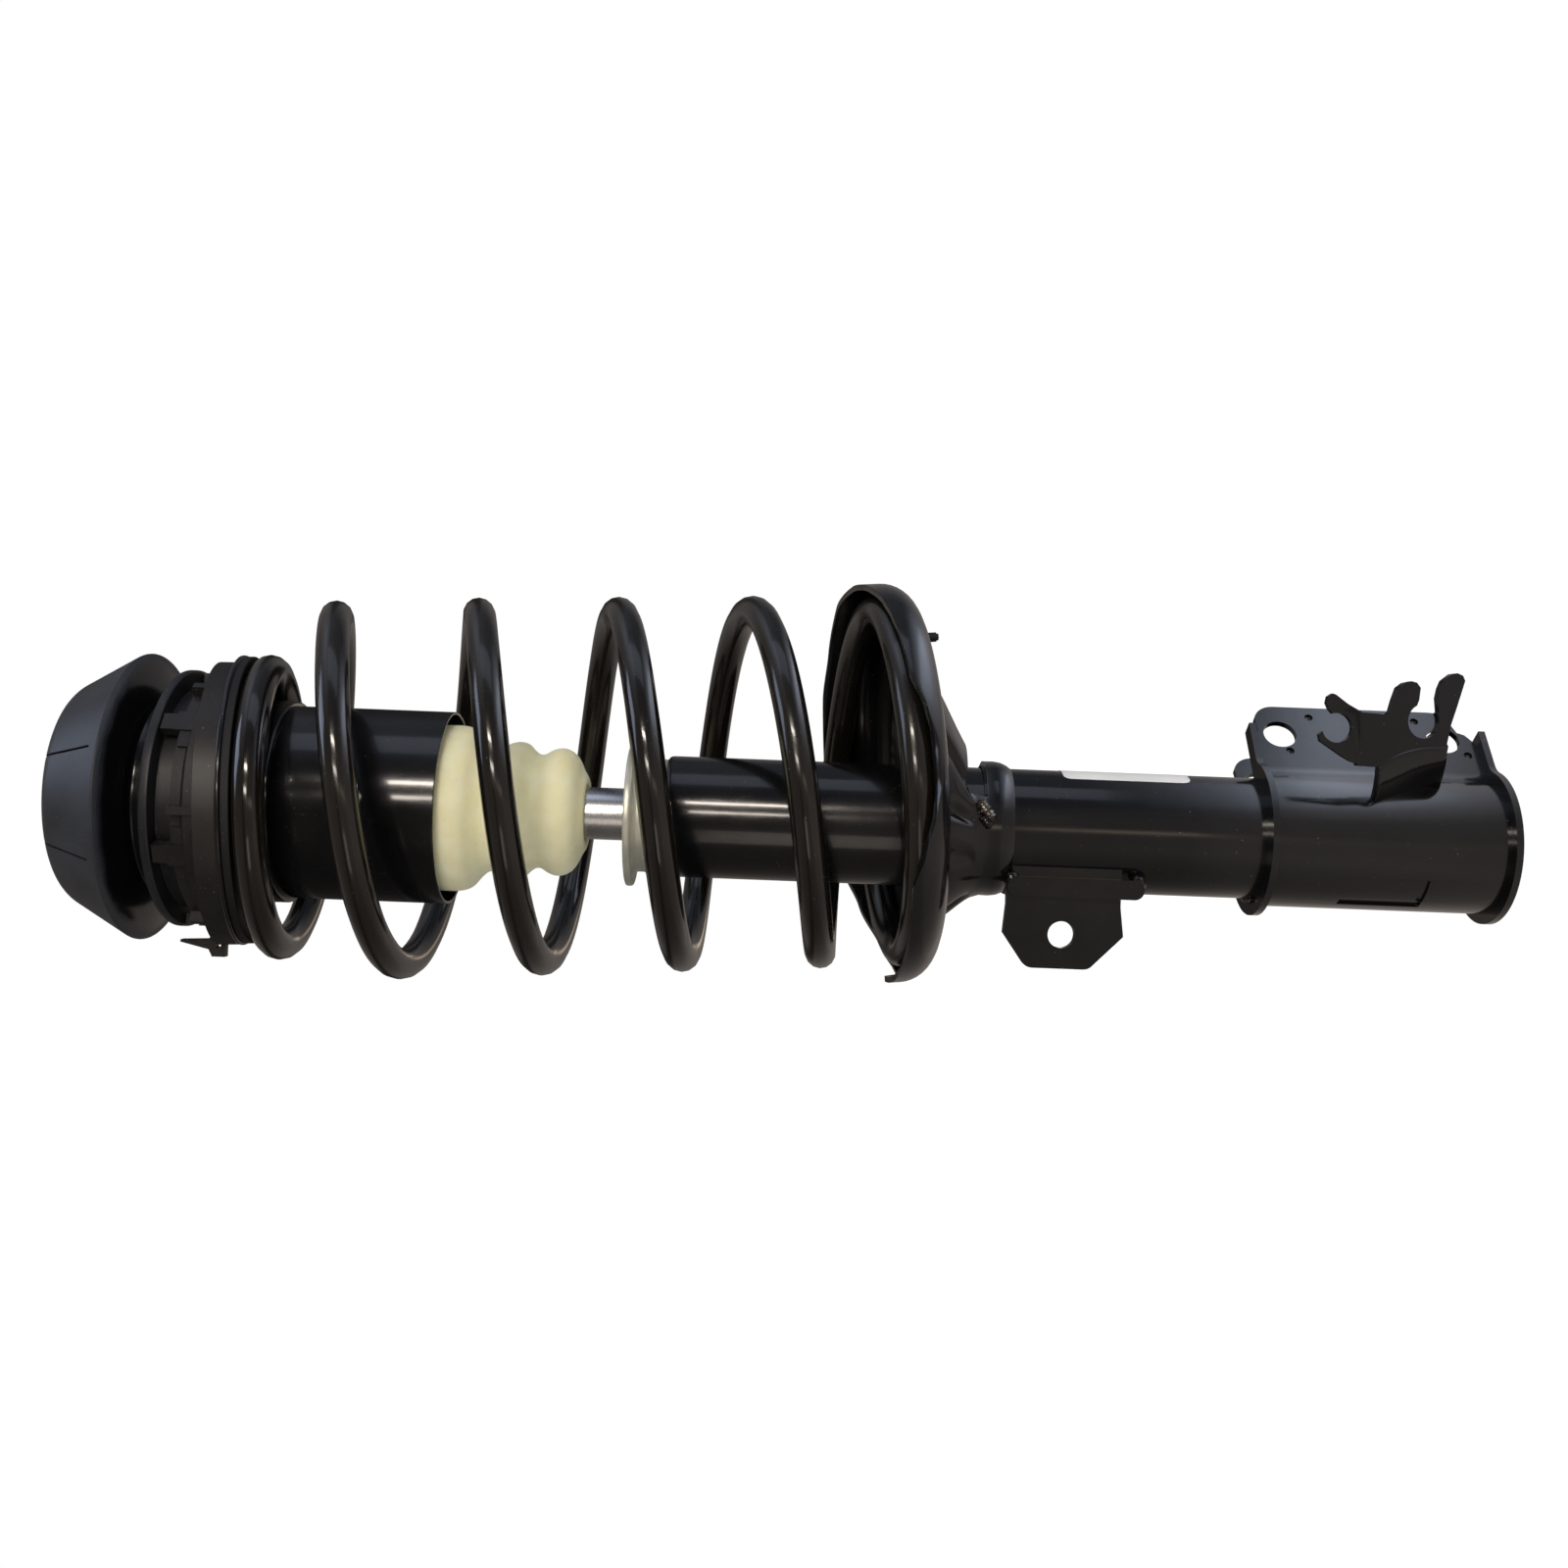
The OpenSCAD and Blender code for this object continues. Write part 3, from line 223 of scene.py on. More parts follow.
def moulded(name, v):
    # rubber, plastic and foam: a fine skin texture, larger flow and bloom
    material, tree, principled, place = startMaterial(name)
    cloud = patches(tree, place, v["cloud"], [(0.3, 0.0), (0.72, 1.0)], Detail=5)
    speck = patches(tree, place, v["speck"], [(0.74, 0.0), (0.79, 1.0)], Detail=1)
    base = baseColour(tree, v, cloud, speck)
    skin = addNode(tree, "ShaderNodeTexNoise", {
        "Vector": place, "Scale": perLump(v["grain"]), "Detail": 3, "Roughness": 0.6}).outputs["Fac"]
    rough = {0: skin, 1: v["roughSpread"], 2: v["rough"]}
    if "shadedFlank" in v:
        # below this height the skin is shinier, and painted shade darkens it where the flank turns away from
        # the light, along an uneven edge
        height = addNode(tree, "ShaderNodeSeparateXYZ", {0: place}).outputs["Z"]
        patch = addNode(tree, "ShaderNodeTexNoise", {
            "Vector": place, "Scale": perLump(v["patchSize"]), "Detail": 3}).outputs["Fac"]
        height = addNode(tree, "ShaderNodeMath", {
            "operation": "MULTIPLY_ADD", 0: patch, 1: v["patchReach"] * mm, 2: height}).outputs[0]
        dull = addNode(tree, "ShaderNodeMapRange", {
            0: height, 1: (v["shadedFlank"] - v["shadedFlankEdge"]) * mm, 2: v["shadedFlank"] * mm}).outputs[0]
        # painted shade: the flank below the rim takes the darker colour
        base = addNode(tree, "ShaderNodeMix", {
            "data_type": "RGBA", 0: dull, 6: linear(v["shadedFlankColour"]), 7: base}).outputs[2]
        rough = {0: dull, 1: v["rough"], 2: v["shadedFlankRough"]}
    rough = addNode(tree, "ShaderNodeMath", {"operation": "MULTIPLY_ADD", **rough}).outputs[0]
    bump = addNode(tree, "ShaderNodeBump", {"Strength": 1.0, "Distance": v["depth"] * mm, "Height": skin})
    setNode(tree, principled, {
        "Base Color": base, "Roughness": rough, "IOR": v["ior"], "Normal": bump.outputs["Normal"]})
    if "glow" in v:
        setNode(tree, principled, {
            "Subsurface Weight": v["glow"], "Subsurface Radius": v["glowReach"], "Subsurface Scale": 1.0})
    return material


# sizes in millimetres
paintSet = {
    "gloss": 0.13, "roughSpread": 0.12, "coat": 0.35, "coatRough": 0.06, "dark": "#0a0a0b",
    "light": "#121213", "cloud": 38, "speck": 1.1, "dust": 0.5, "dustColour": "#8f8c86", "dustRough": 0.25,
    "hairSize": 0.5, "hairStretch": (1, 1, 0.035), "hair": 0.1, "waveSize": 9, "wave": 0.05, "peelSize": 1.2,
    "peel": 0.004,
}
metalSet = {
    "metallic": 1.0, "rough": 0.28, "roughSpread": 0.16, "dark": "#8d8e8b", "light": "#b3b4ae", "cloud": 12,
    "line": 0.35, "stretch": (1, 1, 1), "depth": 0.004,
}
mouldSet = {
    "rough": 0.42, "roughSpread": 0.2, "ior": 1.5, "dark": "#17181b", "light": "#232529", "cloud": 22,
    "speck": 0.9, "dust": 0.35, "dustColour": "#9b978c", "grain": 0.5, "depth": 0.02,
}

finish = {
    # chassis enamel, dipped and baked over steel: deep gloss black with faint orange peel
    "enamel": paint("blackChassisEnamel", paintSet),
    # electrocoat on the small pressings: thin, even and a little flatter
    "eCoat": paint("blackElectrocoat", {
        **paintSet, "gloss": 0.2, "coat": 0.15, "dark": "#0c0c0d", "light": "#151516"}),
    # powder coat over shot-peened spring wire: glossy, and the peening shows through as orange peel
    "powder": paint("blackPowderCoat", {
        **paintSet, "gloss": 0.14, "dark": "#120f0c", "light": "#191611", "wave": 0.03, "peelSize": 0.9,
        "peel": 0.012}),
    # paint pooled over a weld: lumpy, with scale under it
    "weldBlack": paint("paintedWeld", {
        **paintSet, "gloss": 0.16, "wave": 0.12, "peelSize": 0.8, "peel": 0.05}),
    # filled natural rubber from the mould: satin with a bluish bloom, shinier at its wide end, where painted
    # shade also darkens the flank below the rim
    "rubber": moulded("mouldedNaturalRubber", {
        **mouldSet, "dark": "#202226", "light": "#2e3137", "rough": 0.3, "shadedFlank": -26.6, "shadedFlankEdge": 1.2,
        "shadedFlankRough": 0.16, "shadedFlankColour": "#08080a", "patchSize": 26, "patchReach": 3}),
    # unfinished rubber of the pads, the seal and the rebound stop: matte black
    "softRubber": moulded("matteRubber", {**mouldSet, "dark": "#0d0d0e", "light": "#161616", "rough": 0.55}),
    # glass-filled nylon: dull black with a dry skin
    "nylon": moulded("glassFilledNylon", {**mouldSet, "dark": "#131315", "light": "#1f2023", "rough": 0.3}),
    # moulded acetal: semi-gloss, a brownish black
    "acetal": moulded("mouldedAcetal", {
        **mouldSet, "dark": "#151312", "light": "#211e1c", "rough": 0.34, "grain": 0.8, "depth": 0.012}),
    # unfilled nylon of the ball cage: waxy and straw coloured
    "cageNylon": moulded("naturalNylon", {**mouldSet, "dark": "#b9b291", "light": "#cfc8a8", "rough": 0.4}),
    # filled PTFE of the piston's band: waxy dark green
    "ptfe": moulded("filledPtfe", {**mouldSet, "dark": "#24302c", "light": "#2f3d38"}),
    # microcellular urethane: pale cream, lit from within, a dull skin with fine pores
    "urethane": moulded("creamUrethaneFoam", {
        **mouldSet, "dark": "#f1eabb", "light": "#fbf5d0", "rough": 0.5, "roughSpread": 0.15, "glow": 0.55,
        "glowReach": (0.004, 0.003, 0.0015), "cloud": 9, "speck": 1.3, "dust": 0.5, "dustColour": "#c9bf8f",
        "grain": 0.7, "depth": 0.05}),
    # coated label paper: smooth white, faintly mottled and rubbed
    "paper": moulded("coatedPaper", {
        **mouldSet, "dark": "#e9e9e6", "light": "#f7f7f5", "rough": 0.32, "grain": 0.35, "depth": 0.004,
        "dustColour": "#cfc8b8", "dust": 0.2}),
    # bright zinc plate: pale, soft in its shine, with a faint yellow passivate
    "zinc": metal("brightZincPlate", {
        **metalSet, "dark": "#c4c4b6", "light": "#e0decd", "rough": 0.3, "metallic": 0.6}),
    # hard chrome, ground and polished round the rod: a bright mirror, its rings drawn coarse enough to show
    "chrome": metal("groundHardChrome", {
        **metalSet, "dark": "#cfd0d3", "light": "#e4e4e6", "rough": 0.2, "stretch": (0.05, 0.05, 1),
        "line": 0.12, "depth": 0.001}),
    # turned steel of the core, the snap ring and the inner tube: grey and dull
    "steel": metal("turnedSteel", {**metalSet, "dark": "#6f7072", "light": "#8b8c8e"}),
    # tempered strip of the shims: blue-grey
    "strip": metal("temperedStripSteel", {**metalSet, "dark": "#565a66", "light": "#6e7280"}),
    # polished bearing balls: a clear mirror
    "bearing": metal("polishedBearingSteel", {
        **metalSet, "rough": 0.08, "dark": "#a9aaac", "light": "#bfc0c2"}),
    # sintered iron of the piston, the base valve and the rod guide: dark and grainy
    "sinter": metal("sinteredIron", {
        **metalSet, "dark": "#3f3f40", "light": "#565656", "rough": 0.5, "depth": 0.02}),
    # bronze of the rod's bushing: warm yellow
    "bronze": metal("bushingBronze", {**metalSet, "dark": "#8a6a35", "light": "#a5824a"}),
    # weld left shiny where the enamel drew back: patches of dark and bright
    "weldBright": metal("bareWeld", {
        **metalSet, "dark": "#2d2a27", "light": "#8c857a", "cloud": 3.2, "rough": 0.2, "depth": 0.03}),
}

slotFinish = {
    "moulded_rubber": "rubber", "stop_rubber": "softRubber", "bare_steel": "steel", "ball_steel": "bearing",
    "spring_steel": "strip", "zinc_steel": "zinc", "hard_chrome": "chrome", "sintered_iron": "sinter",
    "ptfe_band": "ptfe", "bushing_bronze": "bronze", "glass_filled_nylon": "nylon",
    "bearing_plastic": "acetal", "cage_plastic": "cageNylon", "cream_urethane": "urethane",
    "black_ecoat": "eCoat", "black_paint": "enamel", "black_powder_coat": "powder",
}
nodeSlot = {row["node"]: row["material_slot"] for row in frame["record"]["subparts"]}
bodyOf = {node: body for body, members in frame["record"]["behaviour"]["bodies"].items() for node in members}

for nodeName, obj in nodes.items():
    obj.data.materials.clear()
    obj.data.materials.append(finish[slotFinish[nodeSlot[nodeName]]])
print("stage: materials")


# making pieces

def meshOf(name, bm):
    mesh = bpy.data.meshes.new(name)
    bm.to_mesh(mesh)
    bm.free()
    return mesh


def finishPiece(name, bm, look, node, replaced=(), sharp=38, rides=True):
    # one closed, outward facing mesh at the origin, riding on the body of the node it belongs to
    bmesh.ops.remove_doubles(bm, verts=bm.verts, dist=0.00001)
    bmesh.ops.recalc_face_normals(bm, faces=bm.faces)
    mesh = meshOf(name, bm)
    for face in mesh.polygons:
        face.use_smooth = True
    mesh.set_sharp_from_angle(angle=math.radians(sharp))
    obj = addObject(name, mesh)
    mesh.materials.append(finish[look])
    if replaced:
        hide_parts(*replaced)
    if rides:
        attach(obj, bodyOf[node])
    return obj


def evaluatedMesh(obj):
    graph = bpy.context.evaluated_depsgraph_get()
    return bpy.data.meshes.new_from_object(obj.evaluated_get(graph))


def applyModifiers(obj):
    mesh = evaluatedMesh(obj)
    obj.modifiers.clear()
    obj.data = mesh


def addWall(obj, t, side):
    # sheet thickness in millimetres: side -1 builds inwards, 1 outwards and 0 both ways
    wall = obj.modifiers.new("wall", "SOLIDIFY")
    wall.thickness = t * mm
    wall.offset = side


def addEdge(obj, width, angle, segments=3):
    # rounds the edges that turn by more than the angle
    edge = obj.modifiers.new("edge", "BEVEL")
    edge.width = width * mm
    edge.segments = segments
    edge.limit_method = "ANGLE"
    edge.angle_limit = math.radians(angle)


def addLevel(obj):
    # the large faces stay flat to the eye, the rounding takes all of the turn
    level = obj.modifiers.new("level", "WEIGHTED_NORMAL")
    level.weight = 80


def addCut(obj, bm, operation, overlapping=False):
    # a boolean with a scratch mesh, which is removed once the modifiers are applied
    cutter = addObject("cutter", meshOf("cutter", bm))
    cut = obj.modifiers.new("cut", "BOOLEAN")
    cut.operation = operation
    cut.solver = "EXACT"
    cut.use_self = overlapping
    cut.object = cutter
    bpy.context.view_layer.update()
    return cutter


def cutAway(obj, bm):
    cutter = addCut(obj, bm, "DIFFERENCE")
    applyModifiers(obj)
    bpy.data.objects.remove(cutter)
    obj.data.set_sharp_from_angle(angle=math.radians(40))


def rounded(points, radii, steps=5):
    # a polyline whose corners are rounded, points and radii in millimetres
    out = []
    last = len(points) - 1
    for i, point in enumerate(points):
        radius = radii if isinstance(radii, (int, float)) else radii.get(i, 0)
        if i in (0, last) or radius == 0:
            out.append(point)
            continue
        here, before, after = Vector(point), Vector(points[i - 1]), Vector(points[i + 1])
        toBefore, toAfter = before - here, after - here
        reach = min(radius, toBefore.length * 0.49, toAfter.length * 0.49)
        start, end = here + toBefore.normalized() * reach, here + toAfter.normalized() * reach
        for k in range(steps + 1):
            t = k / steps
            p = start * (1 - t) ** 2 + here * 2 * t * (1 - t) + end * t ** 2
            out.append((p.x, p.y))
    return out


def lathe(profile, segments=160, closed=True, turn=360.0):
    # profile: (radius, height) in millimetres, spun round the strut's axis
    bm = bmesh.new()
    row = [bm.verts.new((r * mm, 0, z * mm)) for r, z in profile]
    edges = [bm.edges.new(pair) for pair in zip(row, row[1:])]
    if closed:
        edges.append(bm.edges.new((row[-1], row[0])))
    bmesh.ops.spin(bm, geom=row + edges, cent=(0, 0, 0), axis=(0, 0, 1), angle=math.radians(turn),
                   steps=segments, use_merge=turn == 360.0)
    bmesh.ops.remove_doubles(bm, verts=bm.verts, dist=0.000005)
    return bm


# heights shared with the solids, in millimetres
seatTopZ = -65.8
cupTopZ = -80.0
bumpTopZ = -81.5
bumpEndZ = -211.5
strikerTopZ = -229.0
tubeTopZ = -245.0
tubeLowZ = -587.0
seatPlaneZ = -349.8
collarTopZ = -376.8

# rubber top mount, with slits from its small end

mountSet = {
    "boreR": 14, "topR": 45, "rimR": 60.5, "rimDrop": 27, "neckR": 41, "height": 38, "neckDeep": 4,
    "recessR": 24, "recessDeep": 12, "slits": 8, "slitFrom": 20, "slitW": 1.0, "slitDepth": 6.5,
    "slitStop": 4, "bladeLong": 40, "bladeOver": 2,
}


def makeMount(v):
    low = -v["height"]
    profile = rounded([
        (v["boreR"], low), (v["neckR"], low), (v["neckR"], low + v["neckDeep"]),
        (v["rimR"] - 2, -v["rimDrop"] - 1.1), (v["rimR"], -v["rimDrop"] + 0.2), (v["topR"] + 1.6, -2.6),
        (v["topR"] - 1.2, 0), (v["recessR"] + 0.5, 0), (v["recessR"], -0.5),
        (v["recessR"], -v["recessDeep"]), (v["boreR"], -v["recessDeep"])],
        {1: 0.6, 2: 1.2, 3: 1.0, 4: 0.9, 5: 2.2, 6: 1.6, 7: 0.4, 8: 0.3})
    obj = finishPiece("coneRubber", lathe(profile, 192), "rubber", "mount_rubber", ["mount_rubber"], 45)
    # each slit is a thin blade taken out
    blades = bmesh.new()
    bladeLow = v["slitStop"] - v["rimDrop"]
    size = Matrix.Diagonal((v["bladeLong"] * mm, v["slitW"] * mm, (v["bladeOver"] - bladeLow) * mm, 1))
    move = Matrix.Translation((
        (v["topR"] - v["slitDepth"] + v["bladeLong"] / 2) * mm, 0, (v["bladeOver"] + bladeLow) / 2 * mm))
    for i in range(v["slits"]):
        turn = Matrix.Rotation(math.radians(v["slitFrom"] + i * 360 / v["slits"]), 4, "Z")
        bmesh.ops.create_cube(blades, size=1, matrix=turn @ move @ size)
    cutAway(obj, blades)


makeMount(mountSet)

# bearing cap

capSet = {
    "bossTop": -38, "bossR": 43, "flangeTop": -42, "flangeT": 4, "flangeR": 54, "skirtR": 46, "skirtIn": 34.5,
    "low": -55, "webLow": -49, "bore": 16,
}


def makeCap(v):
    low = v["flangeTop"] - v["flangeT"]
    profile = rounded([
        (v["bore"], v["bossTop"]), (v["bossR"], v["bossTop"]), (v["bossR"], v["flangeTop"]),
        (v["flangeR"], v["flangeTop"]), (v["flangeR"], low), (v["skirtR"], low), (v["skirtR"], v["low"]),
        (v["skirtIn"], v["low"]), (v["bore"], v["webLow"])],
        {1: 0.8, 2: 1.2, 3: 1.3, 4: 0.8, 5: 0.6, 6: 0.6})
    finishPiece("bearingCap", lathe(profile), "nylon", "bearing_cap", ["bearing_cap"])


makeCap(capSet)

# dust tube, deep drawn with a rounded closed end

dustSet = {"r": 40.5, "wall": 1.2, "top": cupTopZ, "topWall": 1.5, "length": 74.6, "bend": 7, "hole": 14}


def makeDustTube(v):
    low = v["top"] - v["length"]
    under = v["top"] - v["topWall"]
    inner = v["r"] - v["wall"]
    profile = rounded([
        (v["hole"], v["top"]), (v["r"], v["top"]), (v["r"], low), (inner, low), (inner, under),
        (v["hole"], under)],
        {1: v["bend"], 2: 0.5, 3: 0.5, 4: v["bend"] - v["wall"]}, 8)
    finishPiece("dustTube", lathe(profile), "enamel", "dust_tube", ["dust_tube"])


makeDustTube(dustSet)

# upper spring seat: flange on the tilted plane, hub that tapers to the dust tube

upperSeatSet = {
    "r": 61, "t": 2, "kx": 0.0349, "ky": 0.1408, "hubTop": 45.5, "hubLow": 42.5, "hubDeep": 8, "bore": 40.6,
    "level": 2,
}


def makeUpperSeat(v):
    under = seatTopZ - v["t"]
    hubEnd = cupTopZ - v["hubDeep"]
    profile = rounded([
        (v["bore"], seatTopZ), (v["r"], seatTopZ), (v["r"], under), (v["hubTop"] + 1, under),
        (v["hubLow"], cupTopZ + 1), (v["hubLow"], hubEnd), (v["bore"], hubEnd)],
        {1: 0.9, 2: 0.9, 3: 3, 4: 4, 5: 1})
    bm = lathe(profile)
    # only the flange leans, the lower lip stays square to the tube
    for p in bm.verts:
        share = clamp01((p.co.z / mm - cupTopZ + v["level"]) / (seatTopZ - cupTopZ - 2 * v["level"]))
        p.co.z += share * (v["kx"] * p.co.x + v["ky"] * p.co.y)
    finishPiece("upperSpringSeat", bm, "eCoat", "upper_spring_seat", ["upper_spring_seat"])


makeUpperSeat(upperSeatSet)

# bump stop: moulded foam with two waists

bumpSet = {
    "bore": 11.6, "top": bumpTopZ, "end": bumpEndZ, "segments": 128,
    # radius, and height over the stop's lower end
    "outline": [(35, 54), (34.6, 50.5), (33.2, 47.3), (29.4, 44.4), (26.4, 41.2), (25.9, 38), (27.3, 34.6),
                (28.8, 31.6), (29.1, 28.5), (28.3, 25.6), (25.6, 23.3), (23.9, 20.8), (24.0, 18.4),
                (25.7, 16.0), (27.0, 12.8), (26.9, 9.6), (25.4, 6.4), (22.6, 4.0), (18, 2), (15.6, 0.4),
                (14.2, 0), (12.4, 0.3)],
}


def makeBumpStop(v):
    outline = [(30.5, v["top"]), (35, v["top"] - 5)]
    outline += [(r, v["end"] + up) for r, up in v["outline"]]
    outline.append((v["bore"], v["end"] + 1.2))
    profile = rounded(outline, 2.0, 4) + [(v["bore"], v["top"])]
    obj = finishPiece("bumpStop", lathe(profile, v["segments"]), "urethane", "bump_stop", ["bump_stop"], 60)
    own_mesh(obj)


makeBumpStop(bumpSet)

# piston rod, with its thread and stud at the top and the piston's post at the bottom

rodSet = {
    "r": 11, "threadR": 7, "studR": 6, "postR": 6, "low": -359.3, "postTop": -331.3, "shoulder": -38,
    "threadTop": -1, "top": 12, "segments": 128,
}


def makeRod(v):
    profile = rounded([
        (0, v["low"]), (v["postR"] - 1, v["low"]), (v["postR"], v["low"] + 1), (v["postR"], v["postTop"]),
        (v["r"], v["postTop"]), (v["r"], v["shoulder"] - 0.8), (v["r"] - 0.8, v["shoulder"]),
        (v["threadR"], v["shoulder"]), (v["threadR"], v["threadTop"]), (v["studR"], v["threadTop"]),
        (v["studR"], v["top"] - 1), (v["studR"] - 1, v["top"]), (0, v["top"])], {4: 0.5})
    bm = lathe(profile, v["segments"], closed=False)
    finishPiece("pistonRod", bm, "chrome", "piston_rod", ["piston_rod"])


makeRod(rodSet)

# striker cap: pressed, zinc plated, with a bead round its skirt

strikerSet = {
    "r": 30, "t": 3, "bore": 11.5, "skirtR": 23.9, "skirtWall": 2, "beadR": 26.9, "beadZ": (-237.0, -240.2),
}


def makeStriker(v):
    top = strikerTopZ
    under = top - v["t"]
    skirt, inner = v["skirtR"], v["skirtR"] - v["skirtWall"]
    beadTop, beadLow = v["beadZ"]
    profile = rounded([
        (v["bore"], under + 0.6), (v["bore"], top - 0.4), (v["bore"] + 1, top), (v["r"], top),
        (v["r"], under), (skirt + 1, under), (skirt, under - 1.5), (skirt, beadTop),
        (v["beadR"], beadTop - 1.2), (v["beadR"], beadLow + 0.8), (skirt, beadLow), (skirt, tubeTopZ),
        (inner, tubeTopZ), (inner, under)],
        {3: 0.9, 4: 1.1, 5: 0.8, 6: 0.8, 7: 0.6, 8: 0.7, 9: 0.7, 10: 0.5})
    finishPiece("strikerCap", lathe(profile), "zinc", "striker_cap", ["striker_cap"])


makeStriker(strikerSet)

# strut tube, rolled in at the top

tubeSet = {"r": 25.5, "wall": 2.5, "rollR": 18, "rollT": 2}


def makeTube(v):
    inner = v["r"] - v["wall"]
    under = tubeTopZ - v["rollT"]
    profile = rounded([
        (inner, tubeLowZ), (v["r"], tubeLowZ), (v["r"], tubeTopZ), (v["rollR"], tubeTopZ),
        (v["rollR"], under), (inner, under)], {1: 0.6, 2: 2.6, 3: 0.4})
    finishPiece("strutTube", lathe(profile), "enamel", "strut_tube", ["strut_tube"])


makeTube(tubeSet)
print("stage: turned pieces")

# the path of the spring's wire: the lower seat and its support are centred under it

coilSet = {
    "wire": 6.54, "bodyR": 74.1, "topR": 56.4, "length": 262.5, "leanX": 0.054, "leanY": 0.0875,
    "topTilt": (0.0349, 0.1405), "bodyTiltX": 0.028, "lowTilt": (0.0893, 0.0875), "first": -0.25,
    "last": 5.65, "shiftTop": -1.3, "shiftBody": 4.4, "topZ": -78.05, "perTurn": 90, "sides": 20,
    # from and to a turn: the pitch eases in and out, the coil widens, moves over to its body and settles
    "easeIn": (0.05, 1.05), "easeOut": (4.5, 5.5), "widens": (0.3, 1.0), "shifts": (0.3, 1.25),
    "settles": (4.5, 5.3),
    # how far the turns stand above an even pitch, by turn
    "uneven": [(-1, 0), (0.5, 0), (1, 0.4), (1.5, 0), (2, 0.9), (2.5, 0.3), (3, 1.4), (3.5, 0.4), (4, 3.6),
               (4.5, 0.4), (5, 0), (6, 0)],
}


def curveThrough(table, x):
    # smooth value between the rows of a table
    for (x0, y0), (x1, y1) in zip(table, table[1:]):
        if x <= x1:
            share = (x - x0) / (x1 - x0)
            return mix(y0, y1, smooth(share) * 0.6 + share * 0.4)
    return table[-1][1]


def swell(u):
    c = clamp01(u)
    return c ** 3 - c ** 4 / 2


def coilDrop(v, t):
    upper, lower = v["easeIn"], v["easeOut"]
    inTurns, outTurns = upper[1] - upper[0], lower[1] - lower[0]
    evenTurns = lower[0] - upper[1]
    pitch = v["length"] / (inTurns / 2 + evenTurns + outTurns / 2)
    even = clamp01((t - upper[1]) / evenTurns) * evenTurns
    u = clamp01((t - lower[0]) / outTurns)
    return pitch * (inTurns * swell((t - upper[0]) / inTurns) + even + outTurns * (u - swell(u)))


def shareOf(span, t):
    return smooth((t - span[0]) / (span[1] - span[0]))


def coilShift(v, t):
    drop = coilDrop(v, t)
    shift = mix(v["shiftTop"], v["shiftBody"], shareOf(v["shifts"], t))
    return shift + v["leanX"] * drop, v["leanY"] * drop


def coilPoint(v, t):
    turn = -2 * math.pi * t
    r = mix(v["topR"], v["bodyR"], shareOf(v["widens"], t))
    body, end = shareOf(v["shifts"], t), shareOf(v["settles"], t)
    kx = mix(mix(v["topTilt"][0], v["bodyTiltX"], body), v["lowTilt"][0], end)
    ky = mix(v["topTilt"][1], v["lowTilt"][1], body)
    cx, cy = coilShift(v, t)
    x, y = r * math.cos(turn), r * math.sin(turn)
    z = v["topZ"] - coilDrop(v, t) + kx * x + ky * y + curveThrough(v["uneven"], t)
    return Vector((cx + x, cy + y, z))


seatCentre = coilShift(coilSet, coilSet["last"])

# lower spring seat: deep pan with a scooped rim

seatSet = {
    "r": 86.45, "t": 2.5, "bend": 14, "bendSteps": 10, "wallRows": 8, "segments": 220, "kx": 0.0893,
    "ky": 0.0878, "holeR": 58, "holeAt": (-4, -6), "holeMargin": 3, "edge": 0.5, "edgeAngle": 50,
    # rim height over the floor, by angle round the seat in degrees from +X towards +Y
    "rim": [(-180, 16.5), (-165, 15.5), (-150, 14.5), (-135, 14), (-120, 14.5), (-108, 9.2), (-98, 4.6),
            (-90, 2.2), (-80, 2.3), (-70, 5.8), (-60, 10.9), (-48, 12.2), (-38, 13.8), (-28, 15.3), (-15, 18),
            (0, 21.5), (20, 25.4), (45, 26.8), (61, 28.7), (82, 28.6), (104, 27), (118, 23.5), (132, 18),
            (150, 12), (165, 9.5), (179.2, 9.5), (180, 16.5)],
}


def onSeat(bm, v):
    # from the seat's own frame to the strut's
    turn = Matrix.Rotation(-math.atan(v["kx"]), 4, "Y") @ Matrix.Rotation(math.atan(v["ky"]), 4, "X")
    move = Matrix.Translation((seatCentre[0] * mm, seatCentre[1] * mm, seatPlaneZ * mm))
    bmesh.ops.transform(bm, matrix=move @ turn, verts=bm.verts)


